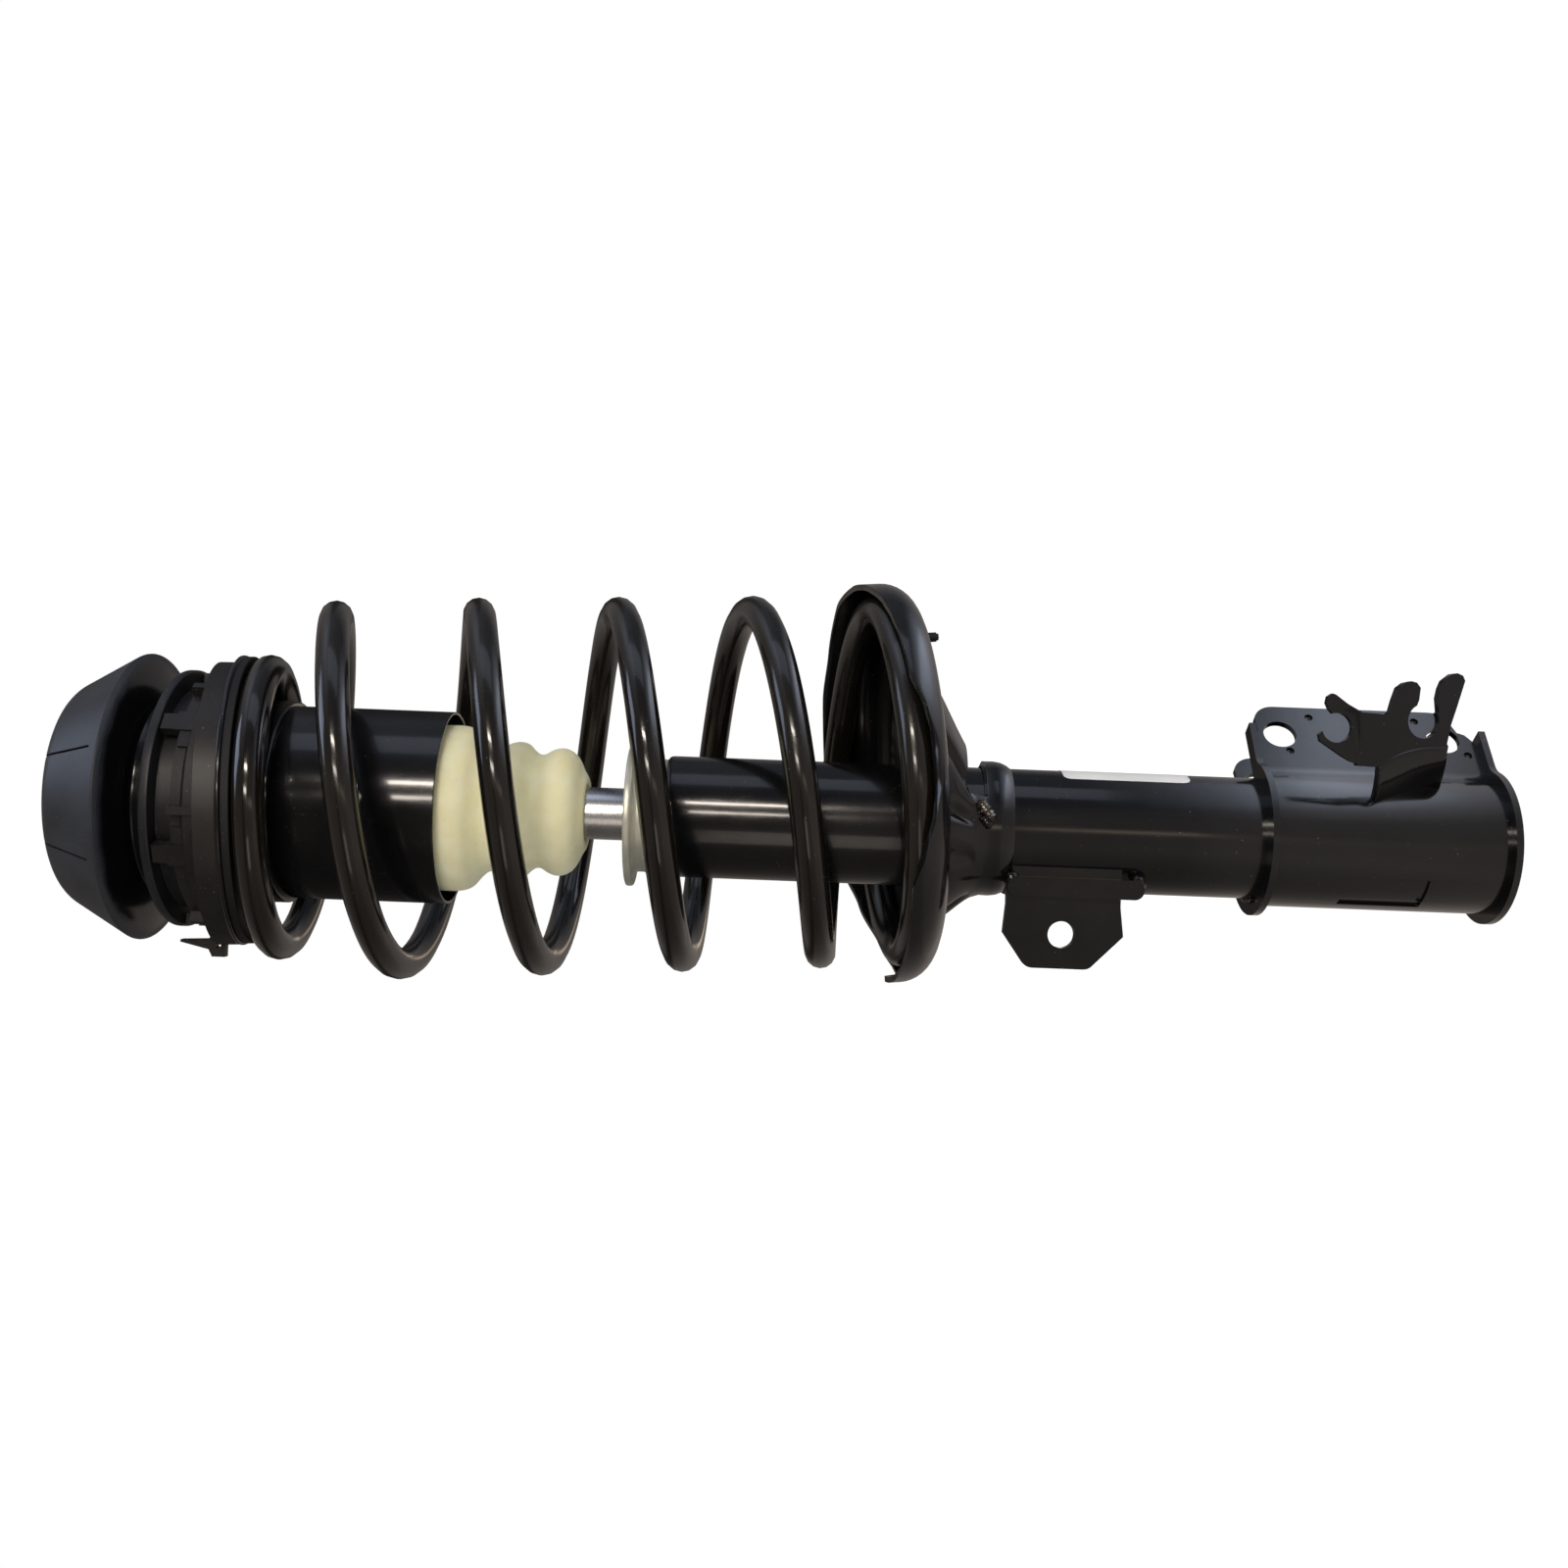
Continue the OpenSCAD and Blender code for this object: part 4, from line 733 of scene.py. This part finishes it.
def makeLowerSeat(v):
    flat = v["r"] - v["bend"]
    wallFoot = v["bend"] - v["t"]
    holeEdge = v["holeR"] + v["holeMargin"]
    # the floor from its opening outwards, the bend, and the wall's rows
    rows = [(holeEdge, -v["t"]), (flat, -v["t"])]
    for k in range(1, v["bendSteps"] + 1):
        a = math.radians(-90 + 90 / v["bendSteps"] * k)
        rows.append((flat + v["bend"] * math.cos(a), wallFoot + v["bend"] * math.sin(a)))
    rows += [(v["r"], wallFoot + k) for k in range(1, v["wallRows"] + 1)]
    bm = lathe(rows, v["segments"], closed=False)
    for p in bm.verts:
        radius = math.hypot(p.co.x, p.co.y) / mm
        angle = math.atan2(p.co.y, p.co.x)
        z = p.co.z / mm
        if radius < holeEdge + 0.5:
            # the opening's edge follows the support, which is off centre
            p.co.x = (v["holeR"] * math.cos(angle) + v["holeAt"][0]) * mm
            p.co.y = (v["holeR"] * math.sin(angle) + v["holeAt"][1]) * mm
        if radius <= flat + 0.01:
            continue
        top = curveThrough(v["rim"], math.degrees(angle))
        reach = top + v["t"]
        if reach <= v["bend"]:
            # a low rim cuts the bend itself short
            share = math.acos(clamp01(1 - (z + v["t"]) / v["bend"])) / (math.pi / 2)
            bendAngle = share * math.acos(1 - reach / v["bend"])
            ratio = (flat + v["bend"] * math.sin(bendAngle)) / radius
            p.co.x *= ratio
            p.co.y *= ratio
            p.co.z = (v["bend"] * (1 - math.cos(bendAngle)) - v["t"]) * mm
        elif z > wallFoot:
            p.co.z = mix(wallFoot, top, (z - wallFoot) / v["wallRows"]) * mm
    bmesh.ops.remove_doubles(bm, verts=bm.verts, dist=0.00002)
    onSeat(bm, v)
    obj = finishPiece("lowerSpringSeat", bm, "enamel", "lower_spring_seat", ["lower_spring_seat"], 60)
    addWall(obj, v["t"], -1)
    addEdge(obj, v["edge"], v["edgeAngle"])
    applyModifiers(obj)


makeLowerSeat(seatSet)

# folded support between the seat's floor and the tube

supportSet = {
    "topR": 57.8, "neckR": 29.5, "neckZ": collarTopZ + 3.0, "t": 2.2, "sunk": 0.4, "rows": 26,
    "segments": 240,
    # how strongly the wall eases in towards the collar, and down to it
    "inEase": 0.35, "downEase": 0.5, "downPower": 0.75,
    "collar": [(28.3, -377.5), (28.4, -381.5), (28.0, -384.5), (27.0, -387.0), (25.75, -388.7)],
    # each fold: angle at the seat, angle at the collar, half width in degrees, depth in millimetres
    "folds": [(-62, -66, 4.5, 4.2), (-98, -84, 4.0, 3.6), (-118, -112, 6, 2.4), (28, 24, 7, 3.4),
              (96, 92, 7, 3.4), (158, 160, 6, 3.2), (-158, -156, 5, 2.6)],
    # a fold goes inwards and up, and fades out at both ends
    "foldIn": 0.6, "foldUp": 0.8, "foldEnd": 1.08, "foldFade": 0.8,
    # the pressing ends short of its collar on the far side of the weld: angles, and what is cut there
    "gap": (-62, 34), "gapSteps": 40,
    "gapOutline": [(26.4, -377.3), (26.4, -371.6), (33, -366.4), (38, -371), (32, -377.3)],
}


def makeSupport(v):
    # a plain tube first, one row to a millimetre, whose rows are then laid from the seat to the collar
    bm = lathe([(50, -i) for i in range(v["rows"] + len(v["collar"]))], v["segments"], closed=False)
    cx, cy = seatCentre[0] + seatSet["holeAt"][0], seatCentre[1] + seatSet["holeAt"][1]
    for p in bm.verts:
        row = round(-p.co.z / mm)
        angle = math.atan2(p.co.y, p.co.x)
        c, s = math.cos(angle), math.sin(angle)
        if row >= v["rows"]:
            radius, z = v["collar"][row - v["rows"]]
            p.co = Vector((radius * c, radius * s, z)) * mm
            continue
        u = row / (v["rows"] - 1)
        x, y = cx + v["topR"] * c, cy + v["topR"] * s
        z = seatPlaneZ + seatSet["kx"] * (x - seatCentre[0]) + seatSet["ky"] * (y - seatCentre[1]) - v["sunk"]
        inward = mix(u, smooth(u), v["inEase"])
        down = mix(u, u ** v["downPower"], v["downEase"])
        neckX, neckY = v["neckR"] * c, v["neckR"] * s
        spot = Vector((mix(x, neckX, inward), mix(y, neckY, inward), mix(z, v["neckZ"], down)))
        fade = math.sin(math.pi * clamp01(u * v["foldEnd"])) ** v["foldFade"]
        for seatEnd, neckEnd, width, depth in v["folds"]:
            off = (math.degrees(angle) - mix(seatEnd, neckEnd, u) + 180) % 360 - 180
            dent = depth * fade * math.exp(-(off / width) ** 2)
            spot += Vector((-c * v["foldIn"], -s * v["foldIn"], v["foldUp"])) * dent
        p.co = spot * mm
    obj = finishPiece("seatSupport", bm, "enamel", "seat_support", ["seat_support"], 50)
    addWall(obj, v["t"], -1)
    applyModifiers(obj)
    start, end = v["gap"]
    cutter = lathe(v["gapOutline"], v["gapSteps"], turn=end - start)
    turn = Matrix.Rotation(math.radians(start), 3, "Z")
    bmesh.ops.rotate(cutter, verts=cutter.verts, cent=(0, 0, 0), matrix=turn)
    bmesh.ops.holes_fill(cutter, edges=[e for e in cutter.edges if len(e.link_faces) == 1], sides=0)
    bmesh.ops.recalc_face_normals(cutter, faces=cutter.faces)
    cutAway(obj, cutter)


makeSupport(supportSet)

# weld beads, laid as a row of overlapping puddles

def sweepWire(name, places, radii, resolution, twist="MINIMUM"):
    # a round wire through the places, in metres; radii are given in millimetres
    curve = bpy.data.curves.new(name, "CURVE")
    curve.dimensions = "3D"
    curve.bevel_depth = mm
    curve.bevel_resolution = resolution
    curve.use_fill_caps = True
    curve.twist_mode = twist
    line = curve.splines.new("POLY")
    line.points.add(len(places) - 1)
    for point, place, radius in zip(line.points, places, radii):
        point.co = (*place, 1)
        point.radius = radius
    source = addObject(name, curve)
    mesh = evaluatedMesh(source)
    bpy.data.objects.remove(source)
    bm = bmesh.new()
    bm.from_mesh(mesh)
    bpy.data.meshes.remove(mesh)
    return bm


beadSet = {
    # shares of the bead's radius
    "step": 0.22, "jitter": 0.05, "lumpSize": 0.9, "lump": 0.14,
    # the ends swell up over their first steps, then each puddle swells by itself
    "endSize": 0.35, "endGrowth": 0.3, "puddle": 0.75, "uneven": 0.05,
}


def makeWeld(name, path, radius, node, seed, look="weldBlack", ripple=0.16):
    # path and radius in millimetres
    v = beadSet
    rng = random.Random(seed)
    points = [Vector(p) for p in path]
    length = sum((b - a).length for a, b in zip(points, points[1:]))
    steps = max(6, int(length / (radius * v["step"])))
    places, radii = [], []
    for i in range(steps + 1):
        reach = length * i / steps
        for a, b in zip(points, points[1:]):
            span = (b - a).length
            if reach <= span or b is points[-1]:
                place = a.lerp(b, min(1, reach / span))
                break
            reach -= span
        ends = min(1.0, v["endSize"] + min(i, steps - i) * v["endGrowth"])
        puddle = 1 + ripple * abs(math.sin(i * v["puddle"])) + rng.uniform(-v["uneven"], v["uneven"])
        radii.append(radius * ends * puddle)
        jitter = Vector([rng.uniform(-1, 1) for _ in range(3)]) * radius * v["jitter"]
        places.append((place + jitter) * mm)
    bm = sweepWire(name, places, radii, 3)
    for vert in bm.verts:
        lump = noise.noise(vert.co / (radius * v["lumpSize"] * mm))
        vert.co += vert.normal * lump * radius * v["lump"] * mm
    finishPiece(name, bm, look, node, (), 60)


def onTube(angle, z, radius):
    a = math.radians(angle)
    return (radius * math.cos(a), radius * math.sin(a), z)


weldSet = {
    # name: spots by angle, height and radius, then the bead's radius, its seed, finish and ripple
    "beads": {
        "collarWeld": ([(-66, -373.4, 29.2), (-74, -376.0, 28.9), (-83, -379.6, 28.4)],
                       2.1, 3, "weldBright", 0.35),
        "collarWeldLow": ([(-79, -374.2, 29.0), (-88, -378.5, 28.3)], 1.6, 4, "weldBlack", 0.3),
    },
    # seams round the support's foot and at both ends of the bracket's sleeve
    # name: from and to an angle, height, steps, the bead's radius, its node and seed
    "seams": {
        "collarSeam0": ((40, 100), -388.9, 8, 1.3, "seat_support", 20),
        "collarSeam1": ((160, 215), -388.9, 8, 1.3, "seat_support", 21),
        "sleeveSeam0": ((95, 194), -590.9, 11, 1.2, "knuckle_bracket", 40),
        "sleeveSeam1": ((95, 194), -491.4, 11, 1.2, "knuckle_bracket", 41),
    },
    "seamR": 26.2,
}


def makeWelds(v):
    for name, (spots, radius, seed, look, ripple) in v["beads"].items():
        makeWeld(name, [onTube(*spot) for spot in spots], radius, "seat_support", seed, look, ripple)
    for name, ((start, end), z, count, radius, node, seed) in v["seams"].items():
        path = [onTube(mix(start, end, k / count), z, v["seamR"]) for k in range(count + 1)]
        makeWeld(name, path, radius, node, seed)


makeWelds(weldSet)
print("stage: seat, support and welds")

# plain white sticker on the tube

stickerSet = {"from": -30, "to": 64, "top": -410, "low": -463, "corner": 3.2, "lift": 0.05, "t": 0.12,
              "grid": (72, 48)}


def makeSticker(v):
    bm = bmesh.new()
    bmesh.ops.create_grid(bm, x_segments=v["grid"][0], y_segments=v["grid"][1], size=0.5)
    radius = tubeSet["r"] + v["lift"]
    wide = math.radians(v["to"] - v["from"]) * radius
    high = v["top"] - v["low"]
    flatX, flatY = wide / 2 - v["corner"], high / 2 - v["corner"]
    middleTurn, middleZ = math.radians((v["from"] + v["to"]) / 2), (v["top"] + v["low"]) / 2
    for p in bm.verts:
        x, y = p.co.x * wide, p.co.y * high
        # corners drawn in to a round
        inX, inY = abs(x) - flatX, abs(y) - flatY
        if inX > 0 and inY > 0:
            share = max(inX, inY) / math.hypot(inX, inY)
            x = math.copysign(flatX + inX * share, x)
            y = math.copysign(flatY + inY * share, y)
        angle = middleTurn + x / radius
        p.co = Vector((radius * math.cos(angle), radius * math.sin(angle), middleZ + y)) * mm
    obj = finishPiece("sticker", bm, "paper", "strut_tube", (), 60)
    addWall(obj, v["t"], 1)
    applyModifiers(obj)


makeSticker(stickerSet)

# coil spring

def makeCoil(v):
    count = int((v["last"] - v["first"]) * v["perTurn"])
    turns = [mix(v["first"], v["last"], i / count) for i in range(count + 1)]
    path = [coilPoint(v, t) * mm for t in turns]
    bm = sweepWire("coilPath", path, [v["wire"]] * len(path), v["sides"] // 4, "Z_UP")
    obj = finishPiece("coilSpring", bm, "powder", "coil_spring", ["coil_spring"], 50, rides=False)
    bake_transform(obj, "upper_seat", "strut_body",
             start=(0, 0, v["topZ"] * mm), end=(0, 0, (v["topZ"] - v["length"]) * mm))
    # every ring of the wire moves as one, so the wire keeps its round section
    tree = kdtree.KDTree(len(path))
    for i, place in enumerate(path):
        tree.insert(place, i)
    tree.balance()
    weights = obj.data.attributes["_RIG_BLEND"]
    for vertex in obj.data.vertices:
        nearest = tree.find(vertex.co)[1]
        weights.data[vertex.index].value = coilDrop(v, turns[nearest]) / v["length"]


makeCoil(coilSet)
print("stage: sticker and spring")

# pressings and moulded parts that keep the solid's shape: a merged copy with its edges rounded

copySet = {
    "angle": 32, "merge": 0.00002, "flat": 0.6,
    # node: piece name, finish, width of the rounded edge in millimetres
    "pieces": {
        "knuckle_bracket": ("knuckleBracket", "enamel", 0.55),
        "sway_bar_tab": ("swayBarTab", "enamel", 0.5),
        "bearing_housing": ("bearingHousing", "acetal", 0.4),
        "lower_isolator": ("lowerIsolator", "softRubber", 0.5),
        "upper_isolator": ("upperIsolator", "softRubber", 0.4),
        "mount_nut": ("mountNut", "zinc", 0.5),
        "mount_washer": ("mountWasher", "zinc", 0.35),
        "mount_core": ("mountCore", "steel", 0.4),
        "bottom_cap": ("bottomCap", "enamel", 0.5),
    },
}


def mergedCopy(node, v):
    bm = bmesh.new()
    bm.from_mesh(nodes[node].data)
    bmesh.ops.transform(bm, matrix=nodes[node].matrix_world, verts=bm.verts)
    bmesh.ops.remove_doubles(bm, verts=bm.verts, dist=v["merge"])
    bmesh.ops.dissolve_limit(bm, angle_limit=math.radians(v["flat"]), verts=bm.verts, edges=bm.edges)
    return bm


def roundedCopy(node, name, look, width, v):
    obj = finishPiece(name, mergedCopy(node, v), look, node, [node])
    addEdge(obj, width, v["angle"])
    addLevel(obj)
    applyModifiers(obj)


for nodeName, (pieceName, look, width) in copySet["pieces"].items():
    roundedCopy(nodeName, pieceName, look, width, copySet)

# hose bracket: the pressed face, and the leg that bends out of its arch down to the weld

hoseSet = {
    "origin": (31.7, -30, -525.7), "roll": 2.2, "turn": 12, "t": 3.0, "edge": 0.5, "edgeAngle": 34,
    # what is kept of the solid: slabs, each with its turn and its lower and upper end over the origin
    "slabs": [(12, -60.0, 1.0), (0, -1.4, 40.0)], "slabWide": 120, "slabPlay": 0.03,
    # the arch the leg leaves the face by: down the strut and away from it
    "arch": [(8.6, -0.6), (13, 2.6), (19, 5.2), (28, 7.2), (39.4, 7.6)],
    # where the leg meets the sleeve and the near ear
    "weld": [(18.4, -22.6, -535.0), (22.6, -15.2, -551.0), (27.4, -6.6, -567.6)],
    "bend": 7.5, "sink": 1.6, "legPlay": 0.1, "steps": (48, 26),
}


def onHoseFace(v, down, away):
    roll, turn = math.radians(v["roll"]), math.radians(v["turn"])
    across = down * math.sin(roll) + away * math.cos(roll)
    along = down * math.cos(roll) - away * math.sin(roll)
    return Vector(v["origin"]) + Vector((across, along * math.sin(turn), -along * math.cos(turn)))


def onPath(points, share):
    # a smooth path through a few points, share 0 at the first and 1 at the last
    last = len(points) - 1
    at = min(int(share * last), last - 1)
    t = share * last - at
    p1, p2 = points[at], points[at + 1]
    p0 = points[at - 1] if at else p1 * 2 - p2
    p3 = points[at + 2] if at + 2 <= last else p2 * 2 - p1
    bend = p0 * 2 - p1 * 5 + p2 * 4 - p3
    twist = p1 * 3 - p0 - p2 * 3 + p3
    return (p1 * 2 + (p2 - p0) * t + bend * t ** 2 + twist * t ** 3) / 2


def makeHoseFace(v):
    # the solid's face alone, cut free of its leg by slabs of the sheet's own thickness
    bm = mergedCopy("hose_bracket", copySet)
    obj = finishPiece("hoseBracket", bm, "enamel", "hose_bracket", ["hose_bracket"])
    slabs = bmesh.new()
    for turn, low, high in v["slabs"]:
        size = Matrix.Diagonal((v["slabWide"] * mm, (v["t"] - v["slabPlay"]) * mm, (high - low) * mm, 1))
        place = Matrix.Translation(Vector(v["origin"]) * mm) @ Matrix.Rotation(math.radians(turn), 4, "X")
        middle = Matrix.Translation((0, 0, (low + high) / 2 * mm))
        bmesh.ops.create_cube(slabs, size=1, matrix=place @ middle @ size)
    cutter = addCut(obj, slabs, "INTERSECT", overlapping=True)
    addEdge(obj, v["edge"], v["edgeAngle"])
    addLevel(obj)
    applyModifiers(obj)
    bpy.data.objects.remove(cutter)


def makeHoseLeg(v):
    arch = [onHoseFace(v, down, away) for down, away in v["arch"]]
    weld = [Vector(p) for p in v["weld"]]
    lean = onHoseFace(v, 0, -v["bend"]) - onHoseFace(v, 0, 0)
    bm = bmesh.new()
    bmesh.ops.create_grid(bm, x_segments=v["steps"][0], y_segments=v["steps"][1], size=0.5)
    for vert in bm.verts:
        share, down = vert.co.x + 0.5, vert.co.y + 0.5
        top, foot = onPath(arch, share), onPath(weld, share)
        foot += Vector((-foot.x, -foot.y, 0)).normalized() * v["sink"]
        vert.co = (top * (1 - down) ** 2 + (top + lean) * 2 * down * (1 - down) + foot * down ** 2) * mm
    obj = finishPiece("hoseLeg", bm, "enamel", "hose_bracket", (), 60)
    addWall(obj, v["t"] - v["legPlay"], 0)
    applyModifiers(obj)


makeHoseFace(hoseSet)
makeHoseLeg(hoseSet)

# dished floors of the small nibs pressed into the near ear

nibSet = {"r": 1.9, "t": 1.5, "dish": 0.45, "rim": 0.5, "earAngle": 38, "earIn": 16.5,
          "spots": [(52, -520), (33, -509), (52, -565.7), (34, -585)]}


def makeNibs(v):
    profile = rounded([
        (0, 0), (v["r"], 0), (v["r"], v["t"]), (v["r"] - v["rim"], v["t"]), (0, v["t"] - v["dish"])],
        {3: 0.4})
    ear = Matrix.Rotation(math.radians(v["earAngle"]), 4, "Z")
    facing = Matrix.Rotation(math.pi / 2, 4, "X")
    bm = bmesh.new()
    for across, z in v["spots"]:
        one = lathe(profile, 32, closed=False)
        place = ear @ Matrix.Translation((across * mm, -v["earIn"] * mm, z * mm)) @ facing
        bmesh.ops.transform(one, matrix=place, verts=one.verts)
        part = meshOf("nib", one)
        bm.from_mesh(part)
        bpy.data.meshes.remove(part)
    finishPiece("nibFloors", bm, "enamel", "knuckle_bracket")


makeNibs(nibSet)
print("stage: rounded copies and brackets")

# stage and light, in metres and watts

stageSet = {"floorZ": -0.66, "floorSize": 6.0, "floorTone": "#f2f2f2", "white": 1.15, "page": 0.8,
            "pageReach": (0.8, 1.0), "seenFrom": (0, 0, -0.45)}

roomSet = {
    "strength": 4.0,
    # tones from below the frame to above it
    "room": [(0.0, "#55504b"), (0.25, "#77716c"), (0.45, "#736d68"), (0.5, "#77716c"), (0.57, "#686361"),
             (0.76, "#6e6b6a"), (0.86, "#85868f"), (0.93, "#b4bccd"), (1.0, "#cdd6e8")],
    # a narrow warm strip along the bracket's end
    "band": [(0.495, 0.0), (0.52, 1.0), (0.54, 1.0), (0.57, 0.0)],
    "bandReach": [(0.54, 0.0), (0.56, 1.0), (0.64, 1.0), (0.655, 0.0)],
    "bandTone": "#f0dcc4",
    # share of those tones from the mount's end to the bracket's end, in front and above
    "open": [(0.72, 0.0), (0.9, 1.0)],
    "front": [(0.0, 0.3), (0.3, 0.25), (0.355, 0.04), (0.4, 0.05), (0.45, 0.25), (0.5, 0.27), (0.56, 0.34),
              (0.64, 0.4), (0.66, 0.54)],
    "above": [(0.2, 0.4), (0.35, 0.08), (0.58, 0.05), (0.61, 0.1), (0.635, 0.2), (0.67, 0.36), (0.69, 0.7),
              (0.71, 1.0)],
}


def addRoom(tree, way, v):
    # the studio as polished surfaces mirror it
    parts = addNode(tree, "ShaderNodeSeparateXYZ", {0: way}).outputs
    height = addNode(tree, "ShaderNodeMath", {
        "operation": "MULTIPLY_ADD", 0: parts["X"], 1: 0.5, 2: 0.5}).outputs[0]
    along = addNode(tree, "ShaderNodeMath", {
        "operation": "MULTIPLY_ADD", 0: parts["Z"], 1: -0.5, 2: 0.5}).outputs[0]
    ramps = {}
    for source, keys in ((height, ("band", "open")), (along, ("bandReach", "front", "above"))):
        for key in keys:
            ramps[key] = addNode(tree, "ShaderNodeValToRGB", {"Fac": source, "stops": v[key]}).outputs[0]
    tones = [(at, linear(tone)) for at, tone in v["room"]]
    room = addNode(tree, "ShaderNodeValToRGB", {"Fac": height, "stops": tones}).outputs[0]
    band = addNode(tree, "ShaderNodeMath", {
        "operation": "MULTIPLY", 0: ramps["band"], 1: ramps["bandReach"]}).outputs[0]
    room = addNode(tree, "ShaderNodeMix", {
        "data_type": "RGBA", 0: band, 6: room, 7: linear(v["bandTone"])}).outputs[2]
    share = addNode(tree, "ShaderNodeMix", {
        "data_type": "RGBA", 0: ramps["open"], 6: ramps["front"], 7: ramps["above"]}).outputs[2]
    return addNode(tree, "ShaderNodeMix", {
        "data_type": "RGBA", "blend_type": "MULTIPLY", 0: 1.0, 6: room, 7: share}).outputs[2]


def seenDirectly(tree, path):
    # 1 for what the camera sees, also through clear things
    return addNode(tree, "ShaderNodeMath", {
        "operation": "MAXIMUM", 0: path["Is Camera Ray"], 1: path["Is Transmission Ray"]}).outputs[0]


def makeFloor(v):
    bm = bmesh.new()
    bmesh.ops.create_grid(bm, x_segments=1, y_segments=1, size=v["floorSize"] / 2)
    bmesh.ops.translate(bm, vec=(0, 0, v["floorZ"]), verts=bm.verts)
    mesh = meshOf("floor", bm)
    obj = addObject("floor", mesh)
    material, tree, principled, place = startMaterial("paleFloor")
    tree.nodes.remove(principled)
    way = addNode(tree, "ShaderNodeVectorMath", {
        "operation": "SUBTRACT", 0: place, 1: v["seenFrom"]}).outputs[0]
    way = addNode(tree, "ShaderNodeVectorMath", {"operation": "NORMALIZE", 0: way}).outputs[0]
    mirrored = addNode(tree, "ShaderNodeEmission", {
        "Strength": roomSet["strength"], "Color": addRoom(tree, way, roomSet)}).outputs[0]
    diffuse = addNode(tree, "ShaderNodeBsdfDiffuse", {"Color": linear(v["floorTone"])}).outputs[0]
    white = addNode(tree, "ShaderNodeEmission", {"Color": (1, 1, 1, 1), "Strength": v["white"]}).outputs[0]
    path = addNode(tree, "ShaderNodeLightPath", {}).outputs
    # the floor's own white takes over away from the object, so that its far edge doesn't show
    reach = addNode(tree, "ShaderNodeVectorMath", {"operation": "LENGTH", 0: place}).outputs["Value"]
    near, far = v["pageReach"]
    page = addNode(tree, "ShaderNodeValToRGB", {
        "Fac": reach, "stops": [(near, v["page"]), (far, 1.0)]}).outputs[0]
    seen = addNode(tree, "ShaderNodeMath", {
        "operation": "MULTIPLY", 0: seenDirectly(tree, path), 1: page}).outputs[0]
    plain = addNode(tree, "ShaderNodeMixShader", {0: seen, 1: diffuse, 2: white}).outputs[0]
    mixed = addNode(tree, "ShaderNodeMixShader", {0: path["Is Glossy Ray"], 1: plain, 2: mirrored}).outputs[0]
    setNode(tree, tree.nodes["Material Output"], {"Surface": mixed})
    mesh.materials.append(material)


worldSet = {"even": 0.56, "evenTone": "#f4f5f8", "page": 1.0}


def makeWorld(v):
    # a white page for the camera, even light for the surfaces, and the studio in their reflections
    world = bpy.data.worlds.new("studio")
    bpy.context.scene.world = world
    world.use_nodes = True
    tree = world.node_tree
    even = tree.nodes["Background"]
    setNode(tree, even, {"Strength": v["even"], "Color": linear(v["evenTone"])})
    way = addNode(tree, "ShaderNodeTexCoord", {}).outputs["Generated"]
    mirrored = addNode(tree, "ShaderNodeBackground", {
        "Strength": roomSet["strength"], "Color": addRoom(tree, way, roomSet)}).outputs[0]
    page = addNode(tree, "ShaderNodeBackground", {"Color": (1, 1, 1, 1), "Strength": v["page"]}).outputs[0]
    path = addNode(tree, "ShaderNodeLightPath", {}).outputs
    lit = addNode(tree, "ShaderNodeMixShader", {
        0: path["Is Glossy Ray"], 1: even.outputs[0], 2: mirrored}).outputs[0]
    mixed = addNode(tree, "ShaderNodeMixShader", {0: seenDirectly(tree, path), 1: lit, 2: page}).outputs[0]
    setNode(tree, tree.nodes["World Output"], {"Surface": mixed})


lightSet = {
    # place, aim, width and height, power, colour
    "overhead": ((1.1, -0.25, -0.3), (0, 0, -0.3), (0.5, 1.2), 1.1, "#dfe9ff"),
    "topLeft": ((0.45, -0.2, 1.15), (0, 0, -0.02), (0.7, 0.7), 4.0, "#d3e2ff"),
    "lampHigh": ((0.64, -1.2, -0.01), (0, 0, -0.2), (0.1, 0.42), 4.4, "#fff4e8"),
    "lampLow": ((0.26, -1.33, -0.01), (0, 0, -0.2), (0.1, 0.42), 2.4, "#fff4e8"),
    "lampFill": ((-0.74, -1.08, -0.22), (0, 0, -0.24), (0.55, 0.3), 0.5, "#fff0e2"),
}


def makeLight(name, place, aim, size, power, colour):
    data = bpy.data.lights.new(name, "AREA")
    data.shape = "RECTANGLE"
    data.size, data.size_y = size
    data.energy = power
    data.color = linear(colour)[:3]
    obj = addObject(name, data)
    back = (Vector(place) - Vector(aim)).normalized()
    across = Vector((0, 0, 1)).cross(back).normalized()
    along = back.cross(across)
    obj.matrix_world = Matrix.Translation(place) @ Matrix((across, along, back)).transposed().to_4x4()


makeFloor(stageSet)
makeWorld(worldSet)
for name, values in lightSet.items():
    makeLight(name, *values)
bpy.context.scene.view_settings.view_transform = "Standard"
print("stage: floor, world and lights")
